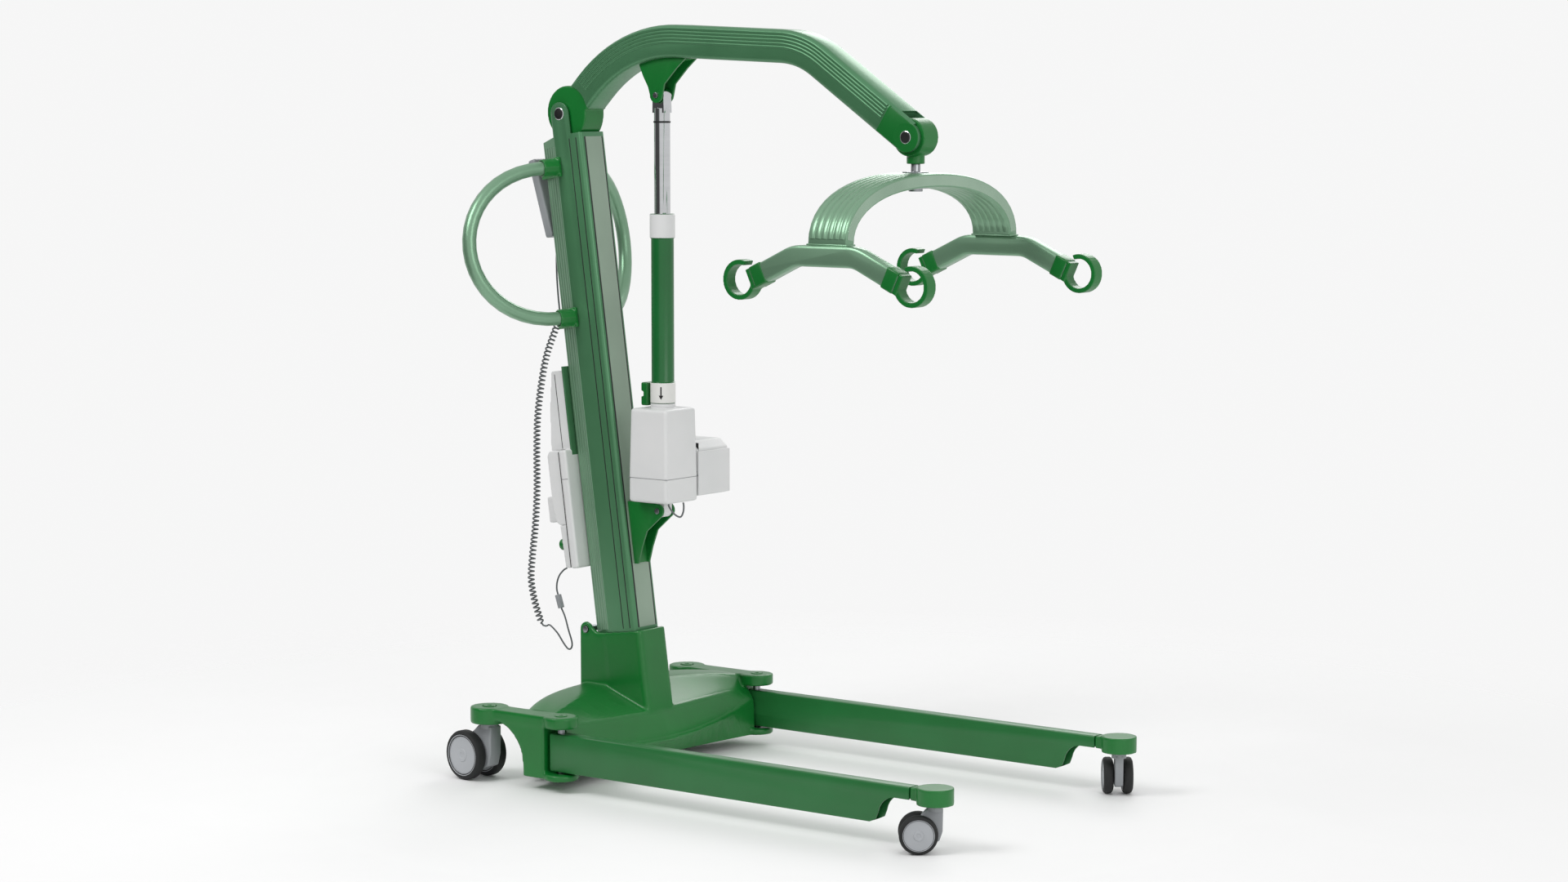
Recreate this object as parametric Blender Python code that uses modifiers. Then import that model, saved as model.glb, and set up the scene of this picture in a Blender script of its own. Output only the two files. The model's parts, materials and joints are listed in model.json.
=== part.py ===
"""Mobile patient lift hoist: +X is forwards, +Z is up, the floor is z = 0, all sizes in metres."""

import math

import bmesh
import bpy
from mathutils import Matrix, Vector

GAP = 0.0003  # between pieces that touch

# Stance
FRONT_AXIS_X = 0.6215
WHEELBASE = 1.132
HALF_TRACK = 0.327
REAR_AXIS_X = FRONT_AXIS_X - WHEELBASE

# Base casting
BASE_BOTTOM = 0.0245
BASE_ARM_TOP = 0.157
BASE_WALL = 0.006
DOME_END_WALL = 0.016
SOCKET_FLOOR = 0.066
DOME_LEG_CLEARANCE = 0.006
DOME_HEIGHT = 0.1685
LUG_THICKNESS = 0.024
LOWER_LUG_THICKNESS = 0.014
REAR_PAD_RADIUS = 0.040
REAR_PAD_BOTTOM = 0.1225
PIVOT_LUG_RADIUS = 0.036

# Legs
LEG_PIVOT_X = -0.3135
LEG_PIVOT_RADIUS = 0.008
LEG_WIDTH = 0.032
DOME_HALF = HALF_TRACK - LEG_WIDTH / 2 - DOME_LEG_CLEARANCE
LEG_BOTTOM = 0.0425
LEG_TOP = 0.1213
LEG_WALL = 0.003
LEG_HEEL = 0.0165
LEG_NOTCH = 0.145
LEVER_IN = 0.056
LEVER_BACK = 0.026
LEVER_WIDTH = 0.012
LEVER_THICKNESS = 0.012
CROSSHEAD_Z = 0.050
LEVER_Z = 0.076
LEVER_PIN_RADIUS = 0.005
FRONT_PAD_RADIUS = 0.036
FRONT_PAD_BOTTOM = 0.092
NOSE_JOINT = 0.050

# Casters
FRONT_WHEEL_RADIUS = 0.0375
FRONT_WHEEL_WIDTH = 0.022
FRONT_WHEEL_GAP = 0.018
FRONT_TRAIL = 0.032
REAR_WHEEL_RADIUS = 0.052
REAR_WHEEL_WIDTH = 0.026
REAR_WHEEL_GAP = 0.032
REAR_TRAIL = 0.0425
FRONT_YAWS = {"right": -142.6, "left": 127.4}
REAR_YAWS = {"right": 174.0, "left": 160.0}
AXLE_RADIUS = 0.004
WHEEL_STEPS = 28

# Mast
MAST_LEAN = math.radians(7.9)
MAST_FOOT = (-0.3164, 0.030)
MAST_WIDTH = 0.078
MAST_DEPTH = 0.124
MAST_SIDE = 0.075
MAST_REAR_WIDTH = 0.040
MAST_WALL = 0.004
MAST_START = 0.090
MAST_FRONT_TOP = 1.328
MAST_REAR_TOP = 1.326
SOCKET_TOP = 0.266
SOCKET_WALL = 0.006
SOCKET_FRONT = 0.014
CROSS_BOLT = (-0.1365, 0.2756)
CROSS_BOLT_RADIUS = 0.007

# Arm
ARM_PIVOT = (-0.0547, 1.3732)
ARM_PIN_RADIUS = 0.010
KNUCKLE_FORWARD = 0.0161
KNUCKLE_RADIUS = 0.056
KNUCKLE_HALF_WIDTH = 0.031
KNUCKLE_RELIEF = 0.0662
ARM_WIDTH = 0.068
ARM_HEIGHT = 0.068
ARM_WALL = 0.0035
ARM_RISE = math.radians(45.0)
ARM_LEVEL = math.radians(-2.5)
ARM_DROP = math.radians(-34.0)
ARM_ROOT_RADIUS = 0.320
ARM_ROOT_LENGTH = 0.077
ARM_LEVEL_LENGTH = 0.272
ARM_TIP_RADIUS = 0.187
ARM_TIP_LENGTH = 0.2655

# Lifting actuator
ACTUATOR_X = -0.3085
ACTUATOR_LOWER_Z = 0.550
ACTUATOR_UPPER_Z = 1.4225
BRACKET_HALF = 0.0205
BRACKET_THICKNESS = 0.005
ACTUATOR_PIN_RADIUS = 0.006
ROD_RADIUS = 0.017
ROD_TOP = 1.3955
ROD_BOTTOM = 0.940
TUBE_RADIUS = 0.024
COLLAR_RADIUS = 0.026
HOUSING_BOTTOM = 0.570
HOUSING_TOP = 0.768
HOUSING_LENGTH = 0.103
HOUSING_WIDTH = 0.106

# Hanger and spreader
HUB_RADIUS = 0.038
HUB_HALF_WIDTH = 0.0245
HUB_PIN_RADIUS = 0.008
ARM_TIP_ROUND = 0.030
COLLAR_BOTTOM = 1.289
SWIVEL_BOLT_RADIUS = 0.0095
ARCH_TOP = 1.2705
ARCH_THICKNESS = 0.027
ARCH_WIDTH = 0.093
ARCH_SPAN = 0.562
BAR_SPACING = 0.584
BAR_TOP = 1.138
BAR_HEIGHT = 0.041
BAR_THICKNESS = 0.032
BAR_WALL = 0.0035
BAR_SLOPE = math.radians(25.0)
HOOK_SPACING = 0.410
HOOK_Z = 1.0665
HOOK_RADIUS = 0.0395
HOOK_BAND = 0.0095
HOOK_WIDTH = 0.028
HOOK_REACH = 0.034
HOOK_RISE = 0.005

# Controls on the mast
BOX_LOW = 0.408
BOX_HIGH = 0.662
NECK_HIGH = 0.832
BOX_WIDTH = 0.120
BOX_DEPTH = 0.020

# Handles and handset
CLAMP_WALL = 0.008
HANDLE_TUBE = 0.015
HANDLE_REACH = 0.213
HANDLE_TOP_W = 1.262
HANDLE_BOTTOM_W = 0.941

ROOT = bpy.data.collections.new("patient_lift_hoist")
CUTTERS = bpy.data.collections.new("cutters")


def clear_scene():
    for obj in list(bpy.data.objects):
        bpy.data.objects.remove(obj, do_unlink=True)
    bpy.context.scene.collection.children.link(ROOT)
    bpy.context.scene.collection.children.link(CUTTERS)
    CUTTERS.hide_render = True


def make_material(name, colour, roughness, metallic=0.0):
    material = bpy.data.materials.new(name)
    material.use_nodes = True
    shader = material.node_tree.nodes["Principled BSDF"]
    shader.inputs["Base Color"].default_value = (*colour, 1.0)
    shader.inputs["Roughness"].default_value = roughness
    shader.inputs["Metallic"].default_value = metallic
    material.diffuse_color = (*colour, 1.0)
    return material


def make_palette():
    return {
        "casting": make_material("green_cast_paint", (0.006, 0.150, 0.030), 0.35),
        "profile": make_material("green_profile_paint", (0.040, 0.170, 0.070), 0.40),
        "housing": make_material("light_grey_plastic", (0.66, 0.66, 0.66), 0.45),
        "grey": make_material("mid_grey_plastic", (0.25, 0.26, 0.28), 0.50),
        "tyre": make_material("black_tyre", (0.012, 0.012, 0.012), 0.70),
        "black": make_material("black_plastic", (0.02, 0.02, 0.02), 0.50),
        "chrome": make_material("chrome_steel", (0.70, 0.70, 0.70), 0.12, 1.0),
        "steel": make_material("zinc_steel", (0.45, 0.45, 0.46), 0.35, 1.0),
        "cord": make_material("grey_cord", (0.10, 0.11, 0.11), 0.60),
    }


def add_object(name, mesh, material=None, parent=None, smooth=30.0):
    obj = bpy.data.objects.new(name, mesh)
    ROOT.objects.link(obj)
    if material is not None:
        mesh.materials.clear()
        mesh.materials.append(material)
    if parent is not None:
        obj.parent = parent
    mesh.shade_smooth()
    mesh.set_sharp_from_angle(angle=math.radians(smooth))
    return obj


def add_empty(name, location, rotation=(0.0, 0.0, 0.0), parent=None):
    empty = bpy.data.objects.new(name, None)
    empty.empty_display_size = 0.05
    empty.location = location
    empty.rotation_euler = rotation
    empty.parent = parent
    ROOT.objects.link(empty)
    return empty


def box(name, size, centre, material=None, parent=None, bevel=0.0):
    mesh = bpy.data.meshes.new(name)
    shape = bmesh.new()
    bmesh.ops.create_cube(shape, size=1.0)
    bmesh.ops.scale(shape, vec=size, verts=shape.verts)
    shape.to_mesh(mesh)
    shape.free()
    obj = add_object(name, mesh, material, parent)
    obj.location = centre
    if bevel:
        rounding = obj.modifiers.new("Bevel", "BEVEL")
        rounding.width = bevel
        rounding.segments = 2
    return obj


def cylinder(name, radius, length, centre, axis="Z", material=None, parent=None, sides=32):
    mesh = bpy.data.meshes.new(name)
    shape = bmesh.new()
    bmesh.ops.create_cone(
        shape, cap_ends=True, segments=sides, radius1=radius, radius2=radius, depth=length
    )
    turn = {"X": (math.pi / 2, "Y"), "Y": (math.pi / 2, "X"), "Z": (0.0, "Z")}[axis]
    bmesh.ops.rotate(shape, matrix=Matrix.Rotation(turn[0], 3, turn[1]), verts=shape.verts)
    shape.to_mesh(mesh)
    shape.free()
    obj = add_object(name, mesh, material, parent)
    obj.location = centre
    return obj


def lathe(name, profile, material=None, parent=None, steps=32):
    """A closed turned shape about its local Z: the profile runs down the outside, top to bottom."""
    mesh = bpy.data.meshes.new(name)
    points = [(radius, 0.0, height) for radius, height in profile]
    mesh.from_pydata(points, [(i, i + 1) for i in range(len(points) - 1)], [])
    obj = add_object(name, mesh, material, parent)
    screw = obj.modifiers.new("Screw", "SCREW")
    screw.steps = steps
    screw.render_steps = steps
    screw.use_merge_vertices = True
    screw.merge_threshold = 0.00001
    bake(obj)
    return obj


def arc(centre, radius, start, end, count):
    """Points of an arc in a plane, angles in degrees."""
    angles = [math.radians(start + (end - start) * i / count) for i in range(count + 1)]
    return [(centre[0] + radius * math.cos(a), centre[1] + radius * math.sin(a)) for a in angles]


def new_curve(name, points, cyclic, dimensions):
    data = bpy.data.curves.new(name, "CURVE")
    data.dimensions = dimensions
    spline = data.splines.new("POLY")
    spline.points.add(len(points) - 1)
    for point, place in zip(spline.points, points):
        point.co = (*place, 0.0, 1.0) if len(place) == 2 else (*place, 1.0)
    spline.use_cyclic_u = cyclic
    return data


def curve_to_mesh(name, data, material, parent):
    """The closed mesh of a curve, with its caps welded to its sides."""
    curve = bpy.data.objects.new(name + "_curve", data)
    ROOT.objects.link(curve)
    graph = bpy.context.evaluated_depsgraph_get()
    mesh = bpy.data.meshes.new_from_object(curve.evaluated_get(graph))
    mesh.name = name
    bpy.data.objects.remove(curve, do_unlink=True)
    shape = bmesh.new()
    shape.from_mesh(mesh)
    bmesh.ops.remove_doubles(shape, verts=shape.verts, dist=0.00001)
    bmesh.ops.recalc_face_normals(shape, faces=shape.faces)
    shape.to_mesh(mesh)
    shape.free()
    return add_object(name, mesh, material, parent)


def plate(name, outline, thickness, material=None, parent=None, plane="XZ", offset=0.0):
    """A flat outline of the given thickness, centred at offset along the plane's normal."""
    data = new_curve(name, outline, True, "2D")
    data.fill_mode = "BOTH"
    data.extrude = thickness / 2
    obj = curve_to_mesh(name, data, material, parent)
    turn = Matrix.Rotation(math.pi / 2, 4, "X") if plane == "XZ" else Matrix.Identity(4)
    shift = (0.0, offset, 0.0) if plane == "XZ" else (0.0, 0.0, offset)
    obj.data.transform(Matrix.Translation(shift) @ turn)
    return obj


def tube(name, points, radius, material=None, parent=None, resolution=3):
    data = new_curve(name, points, False, "3D")
    data.bevel_depth = radius
    data.bevel_resolution = resolution
    data.use_fill_caps = True
    return curve_to_mesh(name, data, material, parent)


def sweep(name, points, profile, material=None, parent=None, capped=True):
    """A closed profile carried along a path that lies in a vertical plane."""
    shape = bpy.data.objects.new(name + "_profile", new_curve(name + "_profile", profile, True, "2D"))
    CUTTERS.objects.link(shape)
    data = new_curve(name, points, False, "3D")
    data.bevel_mode = "OBJECT"
    data.bevel_object = shape
    data.use_fill_caps = capped
    data.twist_mode = "Z_UP"
    obj = curve_to_mesh(name, data, material, parent)
    bpy.data.objects.remove(shape, do_unlink=True)
    return obj


def rounded_rectangle(width, height, radius, count=4):
    corners = (
        ((width / 2 - radius, height / 2 - radius), 0),
        ((-width / 2 + radius, height / 2 - radius), 90),
        ((-width / 2 + radius, -height / 2 + radius), 180),
        ((width / 2 - radius, -height / 2 + radius), 270),
    )
    points = []
    for centre, start in corners:
        points += arc(centre, radius, start, start + 90, count)
    return points


def bake(obj):
    """Turns the object's modifiers into its mesh."""
    graph = bpy.context.evaluated_depsgraph_get()
    mesh = bpy.data.meshes.new_from_object(obj.evaluated_get(graph))
    mesh.name = obj.name
    obj.modifiers.clear()
    obj.data = mesh
    return obj


def weld(mesh):
    """Makes points of less than a hundredth of a millimetre apart one, as a Boolean can leave them."""
    shape = bmesh.new()
    shape.from_mesh(mesh)
    bmesh.ops.remove_doubles(shape, verts=shape.verts, dist=0.00001)
    bmesh.ops.dissolve_degenerate(shape, edges=shape.edges, dist=0.000005)
    shape.to_mesh(mesh)
    shape.free()


def combine(target, tool, operation):
    """Joins the tool to the target, or cuts it away, and removes the tool."""
    modifier = target.modifiers.new("Boolean", "BOOLEAN")
    modifier.operation = operation
    modifier.solver = "EXACT"
    modifier.object = tool
    bpy.context.view_layer.update()
    bake(target)
    bpy.data.objects.remove(tool, do_unlink=True)
    weld(target.data)
    target.data.shade_smooth()
    target.data.set_sharp_from_angle(angle=math.radians(30.0))
    return target


def join(target, *tools):
    for tool in tools:
        combine(target, tool, "UNION")
    return target


def cut(target, *tools):
    for tool in tools:
        combine(target, tool, "DIFFERENCE")
    return target


def hollow(obj, wall):
    """Gives an open skin its wall, inwards."""
    shell = obj.modifiers.new("Solidify", "SOLIDIFY")
    shell.thickness = wall
    shell.offset = -1.0
    shell.use_even_offset = True
    return bake(obj)


# ---------------------------------------------------------------- base


def lerp(a, b, t):
    return a + (b - a) * t


def dome_section(y, inset):
    """The dome's outline at one place across the base, from the rear foot over to the front foot."""
    t = min(abs(y) / DOME_HALF, 1.0)
    rear = lerp(-0.505, -0.430, t**2) + inset
    crown = lerp(DOME_HEIGHT, 0.1560, t**4) - inset
    brow_x = lerp(-0.4485, -0.350, t) - inset / 2
    shoulder = (lerp(-0.316, -0.325, t) - inset, lerp(0.125, 0.128, t) - inset)
    crease = (lerp(-0.292, -0.305, t) - inset, lerp(0.061, 0.104, t**2.2) - inset)
    front = lerp(-0.322, -0.303, t**2) - inset
    bottom = BASE_BOTTOM - (0.004 if inset else 0.0)
    return [
        (rear, bottom),
        (rear, crown - 0.012),
        (rear + 0.006, crown - 0.003),
        (rear + 0.018, crown),
        (brow_x, crown - 0.001),
        shoulder,
        crease,
        (front, bottom),
    ]


def dome(name, half, inset, material=None):
    """A loft of the dome's sections across the base."""
    stations = 16
    mesh = bpy.data.meshes.new(name)
    shape = bmesh.new()
    loops = []
    for i in range(stations + 1):
        y = lerp(-half, half, i / stations)
        loops.append([shape.verts.new((x, y, z)) for x, z in dome_section(y, inset)])
    count = len(loops[0])
    for near, far in zip(loops, loops[1:]):
        for i in range(count):
            j = (i + 1) % count
            shape.faces.new((near[i], near[j], far[j], far[i]))
    shape.faces.new(loops[0])
    shape.faces.new(loops[-1])
    bmesh.ops.recalc_face_normals(shape, faces=shape.faces)
    shape.to_mesh(mesh)
    shape.free()
    return add_object(name, mesh, material)


def mast_outline(grow=0.0, front=None):
    """The mast's section: local X is forwards, the front face is at X = 0."""
    half = MAST_WIDTH / 2 + grow
    rear_half = MAST_REAR_WIDTH / 2 + grow
    nose = grow if front is None else front
    radius = 0.008
    return [
        *arc((nose - radius, -half + radius), radius, 0, -90, 3),
        (-MAST_SIDE, -half),
        (-MAST_DEPTH - grow, -rear_half),
        (-MAST_DEPTH - grow, rear_half),
        (-MAST_SIDE, half),
        *arc((nose - radius, half - radius), radius, 90, 0, 3),
    ]


def prism(name, outline, low, high, parent=None, material=None):
    obj = plate(name, outline, high - low, material, parent, "XY", (low + high) / 2)
    return obj


def wheel_well(side, grow=0.0):
    """The room that a rear caster and its brake pedal need to swing right round under the base."""
    low, high = BASE_BOTTOM - 0.006, 0.108
    profile = [(0.0, low), (0.110, low), (0.110, 0.066), (0.099, 0.082), (0.082, 0.0975)]
    profile += [(0.066, high), (0.0, high)]
    grown = [(r + grow if r else r, z + (grow if z == high else 0.0)) for r, z in profile]
    well = lathe("well", grown[::-1], steps=40)
    well.data.transform(Matrix.Translation((REAR_AXIS_X, side * HALF_TRACK, 0.0)))
    return well


def side_arm(side):
    """One fore-and-aft beam of the base, with its caster pad and the two lugs of the leg pivot."""
    y = side * HALF_TRACK
    top = BASE_ARM_TOP
    lug_low = top - LUG_THICKNESS
    web_front = LEG_PIVOT_X - LEG_HEEL - 0.010
    pad = cylinder(
        "pad",
        REAR_PAD_RADIUS,
        top - REAR_PAD_BOTTOM,
        (REAR_AXIS_X, y, (top + REAR_PAD_BOTTOM) / 2),
    )
    lug = cylinder("lug", PIVOT_LUG_RADIUS, LUG_THICKNESS, (LEG_PIVOT_X, y, top - LUG_THICKNESS / 2))
    low_lug = cylinder(
        "low_lug",
        PIVOT_LUG_RADIUS,
        LOWER_LUG_THICKNESS,
        (LEG_PIVOT_X, y, BASE_BOTTOM + LOWER_LUG_THICKNESS / 2),
    )
    beam_width = 2 * (PIVOT_LUG_RADIUS - 0.011)
    beam = box(
        "beam",
        (LEG_PIVOT_X - REAR_AXIS_X, beam_width, LUG_THICKNESS - 0.001),
        ((LEG_PIVOT_X + REAR_AXIS_X) / 2, y, top - LUG_THICKNESS / 2 - 0.0005),
    )
    arch_rear = REAR_AXIS_X + REAR_PAD_RADIUS - 0.006
    arch_radius = 0.084
    web_low = BASE_BOTTOM + 0.001
    outline = [
        (arch_rear, top - 0.002),
        (arch_rear, lug_low - 0.002),
        *arc((arch_rear - 0.006, lug_low - arch_radius), arch_radius, 78, 0, 10),
        (arch_rear - 0.004 + arch_radius, web_low),
        (web_front, web_low),
        (web_front, top - 0.002),
    ]
    web = plate("web", outline, beam_width - 0.001, plane="XZ", offset=y)
    shelf = box(
        "shelf",
        (LEG_PIVOT_X - web_front + 0.010, beam_width - 0.004, LOWER_LUG_THICKNESS - 0.001),
        ((LEG_PIVOT_X + web_front - 0.010) / 2, y, BASE_BOTTOM + LOWER_LUG_THICKNESS / 2 + 0.0005),
    )
    return join(pad, beam, web, lug, low_lug, shelf)


def build_base(paint, mast_frame):
    base = dome("base_casting", DOME_HALF, 0.0, paint)
    for side in (-1, 1):
        join(base, side_arm(side))

    socket_outline = [
        *arc((SOCKET_FRONT - 0.010, -MAST_WIDTH / 2 - SOCKET_WALL + 0.010), 0.010, 0, -90, 3),
        (-MAST_SIDE - 0.006, -MAST_WIDTH / 2 - SOCKET_WALL),
        (CROSS_BOLT[0] + 0.004, -MAST_WIDTH / 2 - SOCKET_WALL + 0.005),
        (CROSS_BOLT[0] + 0.004, MAST_WIDTH / 2 + SOCKET_WALL - 0.005),
        (-MAST_SIDE - 0.006, MAST_WIDTH / 2 + SOCKET_WALL),
        *arc((SOCKET_FRONT - 0.010, MAST_WIDTH / 2 + SOCKET_WALL - 0.010), 0.010, 90, 0, 3),
    ]
    socket = prism("socket", socket_outline, 0.060, SOCKET_TOP, mast_frame)
    bolt = mast_frame.matrix_world @ Vector((CROSS_BOLT[0], 0.0, CROSS_BOLT[1]))
    lug_radius = 0.0165
    lug_outline = [
        *arc((bolt.x, bolt.z), lug_radius, 180, 20, 8),
        (bolt.x + 0.045, SOCKET_TOP + 0.004),
        (bolt.x + 0.060, 0.140),
        (bolt.x - lug_radius, 0.140),
    ]
    for side in (-1, 1):
        lug = plate(
            "lug", lug_outline, 0.009, offset=side * (MAST_WIDTH / 2 + SOCKET_WALL - 0.0055)
        )
        join(socket, lug)
    join(base, socket)

    hole = prism("hole", mast_outline(GAP), MAST_START - GAP, SOCKET_TOP + 0.080, mast_frame)
    bolt_hole = cylinder(
        "bolt_hole",
        CROSS_BOLT_RADIUS + GAP,
        MAST_WIDTH * 2,
        (CROSS_BOLT[0], 0.0, CROSS_BOLT[1]),
        "Y",
        parent=mast_frame,
        sides=20,
    )
    cut(base, hole, bolt_hole)

    cavity = dome("cavity", DOME_HALF - DOME_END_WALL, BASE_WALL)
    keep_socket = box("keep_socket", (0.190, 0.094, 0.200), (-0.400, 0.0, SOCKET_FLOOR + 0.100))
    cut(cavity, keep_socket, wheel_well(-1, BASE_WALL), wheel_well(1, BASE_WALL))
    cut(base, wheel_well(-1), wheel_well(1))
    cut(base, cavity)

    for side in (-1, 1):
        y = side * HALF_TRACK
        window = box(
            "window",
            (0.039, 0.030, LEVER_THICKNESS + 0.008),
            (LEG_PIVOT_X - 0.0145, side * (DOME_HALF - 0.009), LEVER_Z),
        )
        pin_hole = cylinder("pin_hole", LEG_PIVOT_RADIUS + GAP, 0.20, (LEG_PIVOT_X, y, 0.086), sides=20)
        screw_well = cylinder(
            "screw_well",
            0.014,
            0.010,
            (REAR_AXIS_X, y, BASE_ARM_TOP + 0.001),
            sides=24,
        )
        cut(base, window, pin_hole, screw_well)
    return base


def build_leg_drive(palette):
    """The actuator inside the dome: its rod's crosshead pushes the levers of both legs."""
    height = 0.030
    top = SOCKET_FLOOR - GAP
    motor = box(
        "leg_drive_motor", (0.075, 0.060, height), (-0.4025, 0.0, top - height / 2), palette["black"]
    )
    cut(motor, cylinder("bore", 0.0075, 0.066, (-0.3900, 0.0, CROSSHEAD_Z), "X", sides=20))

    pin_x = LEG_PIVOT_X - LEVER_BACK
    pin_y = HALF_TRACK - LEVER_IN
    bar_x = pin_x - 0.0160
    rod = cylinder(
        "leg_drive_rod", 0.007, 0.068, (bar_x - 0.032, 0.0, CROSSHEAD_Z), "X", palette["steel"], sides=20
    )
    bar = box("bar", (0.010, 2 * pin_y, 0.0100), (bar_x, 0.0, CROSSHEAD_Z))
    join(rod, bar)
    for side in (-1, 1):
        middle = side * (pin_y - 0.0024)
        ear = box("ear", (0.0290, 0.0250, 0.0080), (pin_x - 0.0047, middle, CROSSHEAD_Z))
        slot = box("slot", (2 * LEVER_PIN_RADIUS + 0.0015, 0.0163, 0.030), (pin_x, middle, CROSSHEAD_Z))
        join(rod, ear)
        cut(rod, slot)
    return motor, rod


def build_leg(side, name, palette):
    pivot = add_empty(f"leg_{name}_pivot", (LEG_PIVOT_X, side * HALF_TRACK, 0.0))
    end = FRONT_AXIS_X - LEG_PIVOT_X - NOSE_JOINT
    notch = FRONT_AXIS_X - LEG_PIVOT_X - LEG_NOTCH
    skin = sweep(
        f"leg_{name}",
        [(-LEG_HEEL, 0.0, (LEG_TOP + LEG_BOTTOM) / 2), (end, 0.0, (LEG_TOP + LEG_BOTTOM) / 2)],
        rounded_rectangle(LEG_WIDTH, LEG_TOP - LEG_BOTTOM, 0.004, 2),
        palette["profile"],
        capped=False,
    )
    leg = hollow(skin, LEG_WALL)
    leg.parent = pivot
    lip = 0.097
    under = [
        (notch, LEG_BOTTOM - 0.010),
        (notch, LEG_BOTTOM),
        (notch + 0.017, LEG_BOTTOM + 0.008),
        *arc((notch + 0.062, lip - 0.040), 0.040, 170, 90, 6),
        (end + 0.010, lip),
        (end + 0.010, LEG_BOTTOM - 0.010),
    ]
    cut(leg, plate("under", under, 0.060, parent=pivot))
    floor_plate = box(
        "floor_plate",
        (end - notch - 0.060, LEG_WIDTH - 0.003, 0.003),
        ((end + notch + 0.058) / 2, 0.0, lip + 0.0025),
        parent=pivot,
    )
    boss = cylinder(
        "boss",
        0.0145,
        LEG_TOP - LEG_BOTTOM - 0.004,
        (0.0, 0.0, (LEG_TOP + LEG_BOTTOM) / 2),
        parent=pivot,
        sides=24,
    )
    reach = math.hypot(LEVER_IN, LEVER_BACK)
    pin_place = (-LEVER_BACK, -side * LEVER_IN)
    lever = box(
        "lever",
        (reach, LEVER_WIDTH, LEVER_THICKNESS),
        (pin_place[0] / 2, pin_place[1] / 2, LEVER_Z),
        parent=pivot,
    )
    lever.rotation_euler = (0.0, 0.0, math.atan2(pin_place[1], pin_place[0]))
    lever_eye = cylinder(
        "lever_eye",
        0.0095,
        LEVER_THICKNESS - 0.0005,
        (*pin_place, LEVER_Z),
        parent=pivot,
        sides=24,
    )
    lever_pin = cylinder(
        "lever_pin",
        LEVER_PIN_RADIUS,
        0.038,
        (*pin_place, LEVER_Z - 0.0145),
        parent=pivot,
        sides=16,
    )
    join(leg, floor_plate, boss, lever, lever_eye, lever_pin)
    cut(leg, cylinder("bore", LEG_PIVOT_RADIUS + GAP, 0.12, (0.0, 0.0, 0.082), parent=pivot, sides=20))

    nose_start = end + GAP
    pad_x = FRONT_AXIS_X - LEG_PIVOT_X
    nose = cylinder(
        f"leg_nose_{name}",
        FRONT_PAD_RADIUS,
        0.033,
        (pad_x, 0.0, FRONT_PAD_BOTTOM + 0.0165),
        material=palette["casting"],
        parent=pivot,
    )
    neck = box(
        "neck",
        (pad_x - nose_start, LEG_WIDTH - 0.002, 0.026),
        ((pad_x + nose_start) / 2, 0.0, 0.1085),
        parent=pivot,
        bevel=0.003,
    )
    bake(neck)
    join(nose, neck)
    lower_z = BASE_BOTTOM + 0.001
    upper_z = BASE_ARM_TOP - 0.002
    pin = cylinder(
        f"leg_pin_{name}",
        LEG_PIVOT_RADIUS,
        upper_z - lower_z,
        (LEG_PIVOT_X, side * HALF_TRACK, (upper_z + lower_z) / 2),
        material=palette["steel"],
        sides=20,
    )
    return pivot, leg, nose, pin


# ---------------------------------------------------------------- casters


def wheel_profile(radius, width, low):
    """A tyre with a flat tread; the radius is to the middle of a facet, so that one lies on the floor."""
    edge = 0.0045
    outer = radius / math.cos(math.pi / WHEEL_STEPS)
    return [
        (0.0, low + width),
        (outer - 2.2 * edge, low + width),
        (outer - 0.5 * edge, low + width - 0.6 * edge),
        (outer, low + width - 1.6 * edge),
        (outer, low + 1.6 * edge),
        (outer - 0.5 * edge, low + 0.6 * edge),
        (outer - 2.2 * edge, low),
        (0.0, low),
    ]


def build_caster(
    name,
    place,
    yaw,
    radius,
    width,
    gap,
    trail,
    head_top,
    stem_radius,
    palette,
    parent=None,
):
    swivel = add_empty(f"{name}_swivel", (*place, 0.0), (0.0, 0.0, math.radians(yaw)), parent)
    web_half = gap / 2 - 0.0008
    head_low = 2 * radius + 0.003
    fork = cylinder(
        f"{name}_fork",
        stem_radius,
        head_top - head_low,
        (0.0, 0.0, (head_top + head_low) / 2),
        material=palette["grey"],
        parent=swivel,
        sides=24,
    )
    web_outline = [
        (-stem_radius + 0.002, head_low + 0.002),
        *arc((trail, radius), 0.36 * radius, 205, 380, 10),
        (trail * 0.72, head_low + 0.002),
    ]
    web = plate("web", web_outline, 2 * web_half, parent=swivel)
    join(fork, web)
    cut(
        fork,
        cylinder("bore", AXLE_RADIUS + GAP, 0.1, (trail, 0.0, radius), "Y", parent=swivel, sides=16),
    )

    wheels = lathe(
        f"{name}_wheels",
        wheel_profile(radius, width, gap / 2),
        palette["tyre"],
        steps=WHEEL_STEPS,
    )
    twin = lathe("twin", wheel_profile(radius, width, -gap / 2 - width), steps=WHEEL_STEPS)
    for piece in (wheels, twin):
        facet_down = Matrix.Rotation(math.pi / WHEEL_STEPS, 4, "Z")
        upright = Matrix.Rotation(math.pi / 2, 4, "X") @ facet_down
        piece.data.transform(Matrix.Translation((trail, 0.0, radius)) @ upright)
        piece.parent = swivel
    axle = cylinder("axle", AXLE_RADIUS, gap + width, (trail, 0.0, radius), "Y", parent=swivel, sides=16)
    join(wheels, axle, twin)
    return swivel, fork, wheels


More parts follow.
